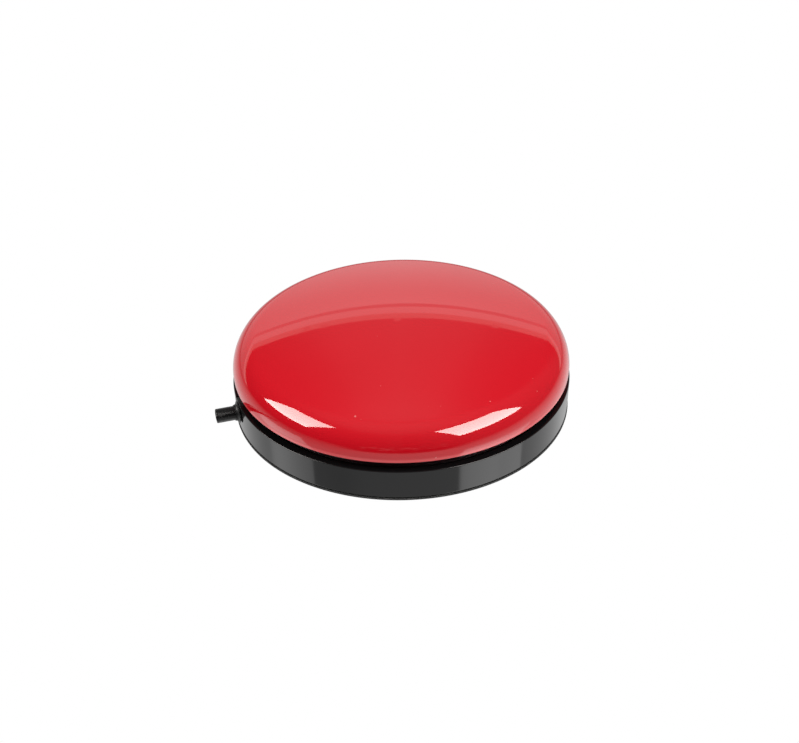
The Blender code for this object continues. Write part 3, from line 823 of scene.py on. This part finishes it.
# ------------------------------------------------------------------ screws
# kind, body, places, height of the head's underside, head up?, then the sizes: head radius and
# height, shoulder radius and length, thread radius and length, drive, pitch, steps round
SCREWS = (
    ("guide", "cap", GUIDES, 3.05, False, (2.7, 1.3, 1.5, 3.8, 1.1, 5.2, 1.5, 0.5, 44)),
    ("cap", "cap", CAP_SCREWS, 9.65, False, (1.9, 1.2, 0, 0, 1.0, 4.5, 1.0, 0.55, 36)),
    ("board", "base", PILLARS, 4.4, True, (1.8, 1.0, 0, 0, 0.88, 2.2, 0.95, 0.5, 36)),
    ("clamp", "base", CLAMP_SCREWS, 6.3, True, (1.6, 0.9, 0, 0, 0.78, 3.6, 0.85, 0.45, 36)),
)


def thread_radius(z, angle, radius, length, pitch):
    """Radius of a V thread that fades in under the head and tapers at the tip."""
    depth = 0.16 * radius + 0.05
    phase = (z / pitch - angle / (2 * math.pi)) % 1.0
    wave = abs(2 * phase - 1)
    fade = min(1.0, z / (0.6 * pitch), (length - z) / (0.8 * pitch) + 0.15)
    tip = min(1.0, 0.35 + 0.65 * (length - z) / (radius * 1.1))
    return (radius - depth * wave * max(0.0, fade)) * tip


def cross_recess(head_h, drive):
    """Cutter for a cross recess with arms of length drive, narrower at its bottom."""
    w = 0.2 * drive
    outline = [
        (-w, -drive), (w, -drive), (w, -w), (drive, -w), (drive, w), (w, w),
        (w, drive), (-w, drive), (-w, w), (-drive, w), (-drive, -w), (-w, -w)]
    cutter = prism(outline, -head_h - 0.4, -head_h * 0.35)
    for vert in cutter.verts:
        if vert.co.z > -head_h * 0.5 * MM:
            vert.co.x *= 0.55
            vert.co.y *= 0.55
    return cutter


def screw(head_r, head_h, shoulder_r, shoulder_l, thread_r, thread_l, pitch, steps):
    """Pan-head screw, underside of the head at z = 0, head below, shank above."""
    plain = [(-head_h * (0.35 + 0.65 * z), head_r * (0.25 + 0.75 * r))
             for r, z in reversed(arc(0.0, 0.0, 1.0, 0, 90, 8))]
    plain += [(-0.04, head_r), (0.0, head_r - 0.04)]
    if shoulder_l:
        plain += [(0.0, shoulder_r), (shoulder_l - 0.08, shoulder_r),
                  (shoulder_l, shoulder_r - 0.08)]
    angles = [2 * math.pi * k / steps for k in range(steps)]
    rows = [(z, [radius] * steps) for z, radius in plain]
    count = max(8, int(thread_l / pitch * 8))
    for k in range(count + 1):
        z = thread_l * k / count
        radii = [thread_radius(z, a, thread_r, thread_l, pitch) for a in angles]
        rows.append((shoulder_l + z, radii))
    shape = bmesh.new()
    rings = [[shape.verts.new(mm(r * math.cos(a), r * math.sin(a), z))
              for r, a in zip(radii, angles)] for z, radii in rows]
    return skin(shape, rings)


for kind, body, places, height, head_up, (*lengths, drive, pitch, steps) in SCREWS:
    for i, at in enumerate(places, 1):
        node = f"{kind}_screw_{i}"
        recess = cut(cross_recess(lengths[1], drive))
        obj = solid(f"{node}_steel", screw(*lengths, pitch, steps), ZINC, [recess], smooth=38)
        turn = Matrix.Rotation(math.pi if head_up else 0.0, 4, "X")
        obj.data.transform(Matrix.Translation(mm(*at, height)) @ turn)
        attach(obj, body, node)

# ------------------------------------------------------------------ springs with close end coils
SPRING_R, SPRING_WIRE_R = 2.9, 0.25
Z_SPRING_LOW, Z_SPRING_HIGH = spring_low.z, spring_high.z
SPRING_LENGTH = Z_SPRING_HIGH - Z_SPRING_LOW
ROCK_ROOM = 0.42          # left free above each coil, so that the rocking plate clears it
END_TURNS, END_PITCH, MID_TURNS = 1.0, 0.52, 2.4
COIL_RISE = SPRING_LENGTH - ROCK_ROOM - 2 * SPRING_WIRE_R
MID_PITCH = (COIL_RISE - 2 * END_TURNS * END_PITCH) / MID_TURNS


def spring_height(turn):
    end = min(turn, END_TURNS) + max(0.0, turn - END_TURNS - MID_TURNS)
    return end * END_PITCH + (turn - end) * MID_PITCH


def spring(number, angle, centre, steps=180):
    path = []
    for k in range(steps + 1):
        turn = (2 * END_TURNS + MID_TURNS) * k / steps
        x, y = polar(SPRING_R, 360 * turn + angle)
        z = Z_SPRING_LOW + SPRING_WIRE_R + spring_height(turn)
        path.append((centre[0] + x, centre[1] + y, z))
    node = f"return_spring_{number}"
    coil = piece(f"{node}_coil", tube(path, SPRING_WIRE_R, 12), WIRE, "return_springs",
                 "spring_steel", node=node, smooth=50)
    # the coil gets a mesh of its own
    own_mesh(coil)


for i, (angle, centre) in enumerate(zip(GUIDE_ANGLES, GUIDES), 1):
    spring(i, angle, centre)

# ------------------------------------------------------------------ circuit board
Z_BOARD = board_low.z                # underside, where tracks and solder are
WIRE_PADS = ((WIRE_X, WIRE_Y), (WIRE_X, -WIRE_Y))
TRACK_WIDTH = 0.7
# centre lines (x, y) of the two tracks
SIGNAL_TRACK = [(WIRE_X, WIRE_Y), (-10.6, 3.6), (0.4, 3.6), (PIN_OPEN[0], 0.9)]
COMMON_TRACK = [(WIRE_X, -WIRE_Y), (-10.6, -2.2), (-8.6, -0.6)]


def board_panel():
    panel = box(board_low.x, board_high.x, board_low.y, board_high.y, Z_BOARD, board_high.z,
                0.05, 1)
    piece("circuit_board_panel", panel, MASK, "base", "green_board",
          cut(*rods(0.48, 3.0, 6.0, 24, PINS), *rods(0.45, 3.0, 6.0, 24, WIRE_PADS[::-1]),
              *rods(1.05, 3.0, 6.0, 24, PILLARS + PEGS)),
          node="circuit_board")


def track(name, points):
    """A flat track along points, with square joints."""
    half = TRACK_WIDTH / 2
    parts = []
    for (x0, y0), (x1, y1) in zip(points[:-1], points[1:]):
        length = math.hypot(x1 - x0, y1 - y0)
        part = box(-half, length + half, -half, half, Z_BOARD - 0.035, Z_BOARD - 0.001)
        parts.append(turned(part, math.degrees(math.atan2(y1 - y0, x1 - x0)), "Z", (x0, y0, 0)))
    first, *others = parts
    piece(name, first, TRACK, "base", "green_board", *[union(part) for part in others])


def solder_joint(number, at, hole_r):
    """A ring of solder that climbs down the pin or core in its middle."""
    profile = filleted([
        (0.50, Z_BOARD + 0.1), (0.50, Z_BOARD - 0.002), (0.78, Z_BOARD - 0.002, 0.03),
        (0.72, Z_BOARD - 0.06, 0.03), (hole_r + 0.12, Z_BOARD - 0.28, 0.03),
        (hole_r + 0.02, Z_BOARD - 0.42, 0.03), (hole_r + 0.02, Z_BOARD + 0.1)], 3)
    joint = moved(spun(profile, 28, closed=True), *at, 0)
    piece(f"solder_joint_{number}", joint, SOLDER, "base", "contact_brass")


board_panel()
track("board_track_signal", SIGNAL_TRACK)
track("board_track_common", COMMON_TRACK)
for i, at in enumerate(PINS + WIRE_PADS, 1):
    solder_joint(i, at, hole_r=0.33 if at in WIRE_PADS else 0.37)

# ------------------------------------------------------------------ microswitch
CASE_WALL = 0.7
Z_PIN_FOOT = 2.85
CONTACT_AT, CONTACT_R = (1.5, 0), 0.55


def case_box(z0, z1, inset=0.0, round_by=0.15, segments=3):
    return box(case_low.x + inset, case_high.x - inset, -case_high.y + inset,
               case_high.y - inset, z0, z1, round_by, segments)


def case_hollow(z0, z1):
    return case_box(z0, z1, inset=CASE_WALL, round_by=0.12, segments=2)


def microswitch_case():
    side = case_high.y - 0.35        # bottom of the round side pockets
    slots = [block(pin, 0.42, 0.32, 4.0, 5.6) for pin in PINS]
    pockets = [crosswise(rod(0.85, z0, z1, 32), x, 6.1)
               for z0, z1 in ((-4, -side), (side, 4)) for x in (-7.0, 1.0)]
    piece("microswitch_case_body", case_box(case_low.z, case_high.z), CASE, "base",
          "switch_case", cut(case_hollow(5.1, 10.0)), cut(*slots), cut(*pockets),
          node="microswitch_case")


def microswitch_cover():
    """Cover with two ears for the lever pin and an opening for the plunger."""
    ears = [moved(box(X_PIVOT - 0.9, X_PIVOT + 0.9, 0, 0.75, 10.0, Z_PIVOT + 0.8, 0.2, 3), 0, y, 0)
            for y in (2.0, -2.75)]
    piece("microswitch_cover_body", case_box(8.7, 10.6), CASE, "base", "switch_case",
          union(*ears),
          cut(case_hollow(8.0, 9.8), crosswise(rod(0.45, -4.0, 4.0, 24), X_PIVOT, Z_PIVOT)),
          cut(block((X_PLUNGER, 0), 0.95, 1.45, 9.0, 11.5, 0.1)),
          node="microswitch_cover")


def lever_pin():
    pin = crosswise(rod(0.37, -2.7, 2.7, 28, ease=0.06), X_PIVOT, Z_PIVOT)
    piece("lever_pin_steel", pin, STRIP, "base", "lever_steel", node="lever_pin")


def terminal(kind, pin, z_top, *steps):
    """A flat pin with the parts joined to it."""
    strip = block(pin, 0.3, 0.2, Z_PIN_FOOT, z_top, 0.05, 1)
    node = f"{kind}_terminal"
    piece(f"{node}_strip", strip, BRASS, "base", "contact_brass", *steps, node=node)


def terminals():
    terminal("common", PIN_COMMON, 7.2, union(box(-8.35, -7.1, -0.9, 0.9, 7.1, 7.5, 0.06)))
    terminal("no", PIN_OPEN, 6.3,
             union(box(0.7, 2.5, -0.9, 0.9, 6.2, 6.5, 0.06)),
             union(rod(CONTACT_R, 6.3, 6.75, 28, CONTACT_AT, 0.12)))
    y = PIN_CLOSED[1]
    terminal("nc", PIN_CLOSED, 8.3,
             union(box(-1.9, 2.3, y - 0.2, y + 0.2, 8.25, 8.6, 0.05, 1)),
             union(box(0.8, 2.3, -0.8, y + 0.1, 8.25, 8.6, 0.06)),
             union(rod(CONTACT_R, 8.05, 8.4, 28, CONTACT_AT, 0.12)))


def snap_blade():
    """Thin slotted blade with a contact rivet at its +X end."""
    piece("snap_blade_strip", box(-7.9, 2.1, -0.75, 0.75, 7.6, 7.75, 0.03, 1), BRASS,
          "snap_blade", "contact_brass",
          union(rod(0.5, 7.35, 7.93, 28, CONTACT_AT, 0.1)),
          cut(box(-6.6, 0.2, -0.22, 0.22, 7.0, 8.5, 0.1)),
          node="snap_blade")


def plunger():
    """Peg with a collar."""
    at = (X_PLUNGER, 0)
    piece("switch_plunger_peg", block(at, 0.8, 1.25, 8.2, Z_PIVOT + 0.04, 0.15, 3), NYLON,
          "switch_plunger", "white_nylon", union(block(at, 1.4, 1.7, 9.0, 9.55, 0.1)),
          node="switch_plunger")


def lever():
    """Strip rising from the pivot to z = 12.2 over the axis, with a rolled eye."""
    rise = math.degrees(math.atan2(12.2 - Z_PIVOT, -X_PIVOT))
    strip = box(0.3, 12.7, -1.75, 1.75, -0.15, 0.15, 0.05)
    piece("switch_lever_strip", turned(strip, -rise, "Y", (X_PIVOT, 0, Z_PIVOT)), STRIP,
          "switch_lever", "lever_steel",
          union(crosswise(rod(0.75, -1.75, 1.75, 32, ease=0.06), X_PIVOT, Z_PIVOT)),
          cut(crosswise(rod(0.45, -3.0, 3.0, 24), X_PIVOT, Z_PIVOT)),
          node="switch_lever")


microswitch_case()
microswitch_cover()
lever_pin()
terminals()
snap_blade()
plunger()
lever()

# ------------------------------------------------------------------ lead
CORE_R, CORE_BORE_R, CORE_Y = 0.31, 0.19, 0.36
STRAND_R, STRAND_RING_R = 0.054, 0.115
CORE_STRIP = 0.12                    # how far the core ends inside the jacket's cut end


def jacket():
    profile = filleted([
        (R_LEAD_BORE, -X_LEAD_END), (R_LEAD, -X_LEAD_END, 0.07),
        (R_LEAD, -X_JACKET_IN, 0.05), (R_LEAD_BORE, -X_JACKET_IN)])
    sheath = lengthwise(spun(dense(profile, 1.2), 48, closed=True))
    piece("lead_jacket_sheath", sheath, PVC, "base", "lead_pvc", node="lead_jacket")


def core(name, side, material, slot):
    """Insulated core from the lead's cut end to its board hole, and seven copper strands."""
    y, y_hole = side * CORE_Y, side * WIRE_Y
    x_start, x_out = X_LEAD_END + CORE_STRIP, X_JACKET_IN
    bend = (-15.2, side * 1.8, 5.2)
    path = [(x_start + (x_out - X_LEAD_END - CORE_STRIP) * k / 8, y, Z_LEAD) for k in range(9)]
    path += bezier((x_out, y, Z_LEAD), (x_out + 1.6, y, Z_LEAD), (-16.9, side * 1.5, 5.0),
                   bend, 14)[1:]
    path += bezier(bend, (-13.5, side * 2.05, 5.4), (WIRE_X, y_hole, 5.5),
                   (WIRE_X, y_hole, 4.6), 14)[1:]
    path += [(WIRE_X, y_hole, 3.8), (WIRE_X, y_hole, 2.95)]
    bore = rod(CORE_BORE_R, -X_LEAD_END - 3.0, -X_LEAD_END + 1.0, 24)
    piece(f"{name}_insulation", tube(path, CORE_R, 20), material, "base", slot,
          cut(lengthwise(bore, y)), node=name, smooth=40)
    strands = []
    for dy, dz in [polar(STRAND_RING_R, 60 * k + 12) for k in range(6)] + [(0.0, 0.0)]:
        strand = rod(STRAND_R, -X_LEAD_END - 2.9, -X_LEAD_END - 0.16, 10, ease=0.01)
        strands.append(lengthwise(strand, y + dy, Z_LEAD + dz))
    piece(f"{name}_strands", gather(strands), COPPER, "base", "contact_brass")


def strain_relief():
    """Flared bush in the wall, with a key above it and a flange inside the wall."""
    flare = [(0, 32.02), (2.08, 32.02), (2.1, 32.04), (2.1, 32.1)]
    flare += arc(2.1, 32.72, 0.6, 268, 185, 14)
    flare += filleted([(1.5, 32.69), (1.49, 32.75, 0.03), (0, 32.75)])[1:]
    piece("strain_relief_bush", lengthwise(spun(flare, 56)), RELIEF, "base", "relief_rubber",
          union(lengthwise(rod(1.6, 28.9, 32.3, 40))),
          union(box(-31.9, -29.0, -1.6, 1.6, Z_LEAD, 6.35, 0.1)),
          union(box(-29.4, -28.6, -2.4, 2.4, 2.75, 6.3, 0.2, 3)),
          cut(lengthwise(rod(R_LEAD + 0.03, 26.0, 37.0, 48))),
          node="strain_relief")


def lead_clamp():
    piece("lead_clamp_bar", block((CLAMP_X, 0), 1.6, 6.2, 5.0, 6.2, 0.3, 4), SATIN, "base",
          "black_plate",
          cut(lengthwise(rod(R_LEAD + 0.06, 18.0, 28.0, 48)),
              *rods(0.95, 4.0, 7.0, 24, CLAMP_SCREWS)),
          node="lead_clamp")


jacket()
core("core_wire_signal", 1, CORE_WHITE, "core_white")
core("core_wire_return", -1, CORE_BLACK, "core_black")
strain_relief()
lead_clamp()

# ------------------------------------------------------------------ studio
# A glossy white table, a white board behind it and a softbox on each side. Metres and degrees.
CAMERA_AZIMUTH, CAMERA_RISE = math.radians(-16.0), math.radians(34.14)
CAMERA_DISTANCE, CAMERA_ROLL = 0.384, -1.18
CAMERA_TARGET = Vector((0, 0, 0.0048))
CARD_CENTRE = Vector((0, 0, 0.012))
WARM_WHITE = (1, 0.97, 0.94)


def heading(azimuth, elevation):
    """Unit direction; azimuth 0 points away from the camera, positive to the camera's right."""
    a, e = math.radians(azimuth), math.radians(elevation)
    ahead = Vector((math.sin(a) * math.cos(e), math.cos(a) * math.cos(e), math.sin(e)))
    return Matrix.Rotation(CAMERA_AZIMUTH, 3, "Z") @ ahead


def hide_from(obj, *rays):
    for kind in rays:
        setattr(obj, f"visible_{kind}", False)


def face_object(name, corners):
    shape = bmesh.new()
    shape.faces.new([shape.verts.new(c) for c in corners])
    return mesh_object(name, shape, tidy=False)


def card(name, corners, strength, colour):
    """A glowing card that only reflections see. Strength is a number or makes a socket."""
    obj = face_object(name, corners)
    uv = obj.data.uv_layers.new(name="UVMap")
    for loop, place in zip(uv.data, ((0, 0), (1, 0), (1, 1), (0, 1))):
        loop.uv = place
    graph = Graph(bpy.data.materials.new(name))
    level = strength(graph) if callable(strength) else strength
    glow = graph.add("Emission", {"Strength": level, "Color": colour})
    graph.node("OutputMaterial", {0: glow})
    obj.data.materials.append(graph.data)
    hide_from(obj, "camera", "diffuse", "shadow", "transmission")


def softbox(name, corners, stops):
    """Corners are (azimuth, elevation), stops are (height on the card 0..1, strength)."""
    def strength(graph):
        height = graph.add("SeparateXYZ", {0: graph.add("UVMap")}, 1)
        return graph.curve(height, stops, "VECTOR")

    places = [CARD_CENTRE + heading(a, e) * 0.9 for a, e in corners]
    card(name, places, strength, WARM_WHITE)


# seen in reflections only; their soft light on surfaces comes from the area lamps below
softbox("softbox_left", [(-115.0, 22.0), (-77.0, 19.0), (-80.0, 48.0), (-124.5, 50.0)],
        [(0, 13.6), (0.3, 11.4), (1, 9.3)])
softbox("softbox_right", [(93.6, 24.6), (142.5, 27.0), (152.0, 56.5), (90.3, 54.8)],
        [(0, 14.3), (0.3, 12.5), (1, 10)])

# white board behind the table: outlines of its edge and of its lit field, (azimuth, elevation)
OUTER = [
    (-66, -12), (-62, 1), (-57, 6), (-50, 12.5), (-43, 19), (-34, 24.6), (-24, 29.5),
    (-12, 31.3), (0, 31.9), (12, 31.1), (24, 28.6), (33, 23.2), (40, 16.5), (46, 9.5),
    (52, 3), (57, -3), (58, -12)]
INNER = [
    (-61, -12), (-57, 0), (-52, 4), (-45.5, 10), (-38.5, 16.1), (-30, 20.9), (-21, 24.6),
    (-11, 25.5), (0, 25.7), (11, 25.2), (21, 23.7), (29, 19.8), (35.5, 13.4), (41, 7.2),
    (46.5, 1.5), (51, -4), (53, -12)]
# places of the clips along the board's edge, (azimuth, elevation)
CLIPS = ((-15.0, 29.2), (-12.4, 30.2), (-0.5, 31.7), (15.4, 29.8))


def between(share):
    """The outline a share of the way from the outer to the inner one."""
    return [(a[0] + (b[0] - a[0]) * share, a[1] + (b[1] - a[1]) * share)
            for a, b in zip(OUTER, INNER)]


def field_strength(graph):
    azimuth, elevation = graph.angles(graph.add("NewGeometry", output="Position"))
    across = graph.lookup(graph.math("ABSOLUTE", azimuth),
                          (0, 1.0), (15, 0.94), (30, 0.74), (45, 0.60), (62, 0.55))
    along = graph.lookup(elevation, (-12, 0.50), (-2, 0.76), (5, 0.87), (10, 0.88), (16, 0.88),
                         (22, 0.93), (27, 1.10))
    return graph.times(across, along)


def upright_card(name, points, distance, strength, colour):
    """A card on a curve round the object, its points given as directions seen from there."""
    corners = []
    for azimuth, elevation in points:
        reach = distance / math.cos(math.radians(azimuth))
        rise = Vector((0, 0, CARD_CENTRE.z + reach * math.tan(math.radians(elevation))))
        corners.append(heading(azimuth, 0) * reach + rise)
    card(name, corners, strength, colour)


# name, outline, distance ahead, strength, colour: each card lies just before the last
BOARD_CARDS = (
    ("board_edge", OUTER, 1.20, 0.74, (1.0, 0.90, 0.83)),
    ("board_strip", between(0.34), 1.19, 1.0, (1.0, 0.97, 0.95)),
    ("board_line", between(0.78), 1.18, 0.60, (1.0, 0.98, 0.97)),
    ("board_field", INNER, 1.17, field_strength, (1.0, 0.99, 0.98)),
)
for row in BOARD_CARDS:
    upright_card(*row)
for i, (a, e) in enumerate(CLIPS, 1):
    outline = [(a - 0.6, e), (a + 0.7, e), (a + 0.5, e + 1.3), (a - 0.5, e + 1.3)]
    upright_card(f"board_clip_{i}", outline, distance=1.16, strength=0.60,
                 colour=(1.0, 0.90, 0.84))

# name, direction, distance, size, watts
LAMPS = (
    ("lamp_left", heading(-98, 38), 0.9, 0.5, 2.8),
    ("lamp_right", heading(118, 44), 0.9, 0.5, 3.8),
    ("lamp_top", heading(180, 84), 1.1, 1.0, 6.7),
    ("lamp_low_left", heading(-86, 7), 0.9, 0.5, 1.3),
    ("lamp_low_right", heading(84, 7), 0.9, 0.5, 1.3),
    ("lamp_under", Vector((0.1, -0.2, -1.0)), 0.6, 0.6, 3.0),
)
for name, direction, distance, size, watts in LAMPS:
    data = bpy.data.lights.new(name, "AREA")
    data.shape, data.size, data.energy = "SQUARE", size, watts
    lamp = bpy.data.objects.new(name, data)
    bpy.context.scene.collection.objects.link(lamp)
    direction = direction.normalized()
    lamp.location = direction * distance
    lamp.rotation_mode = "QUATERNION"
    lamp.rotation_quaternion = direction.to_track_quat("Z", "Y")
    hide_from(lamp, "glossy", "camera")


def studio_world():
    """White to the lens, an even dim light on surfaces, and a room of its own in reflections."""
    world = bpy.data.worlds.new("studio")
    bpy.context.scene.world = world
    world.cycles.sampling_method = "NONE"
    graph = Graph(world)
    ray = graph.node("LightPath").outputs
    towards = graph.add("TexCoord", output="Generated")
    azimuth, elevation = graph.angles(towards)
    # strengths against degrees
    ceiling = graph.lookup(elevation, (-90, 0.04), (0, 0.05), (30, 0.10), (50, 0.15),
                           (64, 0.28), (76, 0.36), (90, 0.42))
    middle = graph.times(
        graph.lookup(graph.math("ABSOLUTE", azimuth),
                     (0, 0.20), (10, 0.15), (20, 0.04), (30, 0.0), (180, 0.0)),
        graph.lookup(elevation, (-90, 0.0), (0, 0.0), (28, 1.0), (60, 0.9), (75, 0.0),
                     (90, 0.0)))
    side = graph.times(
        graph.lookup(azimuth, (-180, 0.04), (-140, 0.0), (25, 0.0), (55, 0.10), (95, 0.11),
                     (150, 0.06), (180, 0.0)),
        graph.lookup(elevation, (-90, 0.0), (0, 1.0), (45, 1.0), (70, 0.0), (90, 0.0)))
    # the dim room behind the camera
    clutter = graph.noise(scale=13.0, detail=2.0, vector=towards)
    room = graph.times(
        graph.lookup(graph.math("ABSOLUTE", azimuth),
                     (0, 0.0), (148, 0.0), (160, 1.0), (180, 1.0)),
        graph.lookup(elevation, (-90, 0.0), (-12, 0.0), (-8, 1.0), (8, 1.0), (16, 0.0),
                     (90, 0.0)),
        graph.lookup(clutter, (0, 0.0), (0.50, 0.0), (0.62, 0.30), (1.0, 0.34)))
    mirrored = graph.plus(ceiling, middle, side, room)
    diffuse_level = 0.14
    level = graph.plus(graph.times(ray["Is Glossy Ray"], mirrored),
                       graph.times(ray["Is Diffuse Ray"], diffuse_level),
                       ray["Is Camera Ray"])
    background = graph.add("Background", {"Strength": level, "Color": (1, 1, 1)})
    graph.node("OutputWorld", {0: background})


def acrylic_light(graph, incoming):
    """How bright the table looks in a reflection, from where the reflected ray is heading."""
    flipped = graph.add("VectorMath", {0: incoming, "Scale": -1.0}, operation="SCALE")
    azimuth, elevation = graph.angles(flipped)
    around = graph.lookup(
        azimuth, (-180, 0.84), (-120, 0.74), (-85, 1.05), (-50, 1.10), (-25, 0.95), (0, 0.65),
        (25, 1.0), (50, 1.32), (90, 1.32), (130, 1.1), (160, 0.84), (180, 0.84))
    # 1 towards the camera, 0 beside and beyond the object
    before = graph.lookup(graph.math("ABSOLUTE", azimuth),
                          (0, 0.0), (130, 0.0), (160, 1.0), (180, 1.0))
    rise_before = graph.lookup(
        elevation, (-90, 1.0), (-35, 0.95), (-20, 0.95), (-14, 0.92), (-10, 0.5), (-7, 0.1),
        (0, 0.0))
    rise_beside = graph.lookup(
        elevation, (-90, 0.9), (-45, 0.80), (-36, 0.80), (-31, 0.96), (-20, 0.82),
        (-10, 0.58), (-4, 0.32), (0, 0.10))
    rise = graph.plus(graph.times(before, rise_before),
                      graph.times(graph.math("SUBTRACT", 1.0, before), rise_beside))
    # the two softboxes mirrored in the gloss
    left = graph.times(
        graph.lookup(azimuth, (-180, 0.0), (-114.5, 0.0), (-112.5, 0.78), (-92, 0.90),
                     (-72, 0.12), (-60, 0.0), (180, 0.0)),
        graph.lookup(elevation, (-90, 1.0), (-35, 1.0), (-30, 1.5), (-20, 1.5), (-15, 0.2),
                     (-12, 0.0), (0, 0.0)))
    right = graph.times(
        graph.lookup(azimuth, (-180, 0.0), (86.5, 0.0), (88.5, 0.85), (105, 1.25),
                     (128, 1.7), (139, 1.3), (141, 0.0), (180, 0.0)),
        graph.lookup(elevation, (-90, 1.0), (-34, 1.0), (-19, 0.0), (0, 0.0)))
    # mottled by 4 % either way
    mottle = graph.plus(graph.times(graph.noise(scale=25.0, detail=2.0), 0.08), 0.96)
    return graph.times(graph.plus(graph.times(around, rise), graph.plus(left, right)), mottle)


def table():
    """White acrylic table: even white to the lens, lit and glossy in reflections."""
    half, z = 3.0, -0.0002
    obj = face_object("table_top", [
        (-half, -half, z), (half, -half, z), (half, half, z), (-half, half, z)])
    graph = Graph(bpy.data.materials.new("white_acrylic"))
    geometry = graph.node("NewGeometry").outputs
    ray = graph.node("LightPath").outputs
    diffuse_level = 0.52
    lit = acrylic_light(graph, geometry["Incoming"])
    level = graph.plus(graph.times(ray["Is Glossy Ray"], lit),
                       graph.times(ray["Is Diffuse Ray"], diffuse_level),
                       ray["Is Camera Ray"])
    glow = graph.add("Emission", {"Strength": level})
    clear = graph.add("BsdfTransparent")
    # nothing from below, so that the sole can be looked at
    surface = graph.add("MixShader", {0: geometry["Backfacing"], 1: glow, 2: clear})
    graph.node("OutputMaterial", {0: surface})
    obj.data.materials.append(graph.data)
    hide_from(obj, "shadow")


def lead_run():
    """The lead running on over the table: only its dark reflection in the cap shows."""
    path = [(X_LEAD_END - 0.1 - 6 * k, 0.02 * k * k, Z_LEAD - min(2.6, 0.12 * k))
            for k in range(24)]
    obj = mesh_object("lead_run", tube(path, R_LEAD, 24))
    obj.data.materials.append(PVC)
    hide_from(obj, "camera", "diffuse", "shadow")


def camera():
    data = bpy.data.cameras.new("camera")
    obj = bpy.data.objects.new("camera", data)
    bpy.context.scene.collection.objects.link(obj)
    data.sensor_width, data.lens = 36.0, 90.5181477
    data.shift_x, data.shift_y = -0.00250312891, 0.00926157697
    data.clip_start, data.clip_end = 0.01, 10.0
    flat = math.cos(CAMERA_RISE)
    back = Vector((math.sin(CAMERA_AZIMUTH) * flat, -math.cos(CAMERA_AZIMUTH) * flat,
                   math.sin(CAMERA_RISE)))
    roll = Matrix.Rotation(math.radians(CAMERA_ROLL), 3, "Z").to_quaternion()
    obj.location = CAMERA_TARGET + back * CAMERA_DISTANCE
    obj.rotation_mode = "QUATERNION"
    obj.rotation_quaternion = (-back).to_track_quat("-Z", "Y") @ roll
    bpy.context.scene.camera = obj


studio_world()
table()
lead_run()
camera()

bpy.context.scene.view_settings.view_transform = "Standard"
bpy.context.scene.view_settings.look = "None"
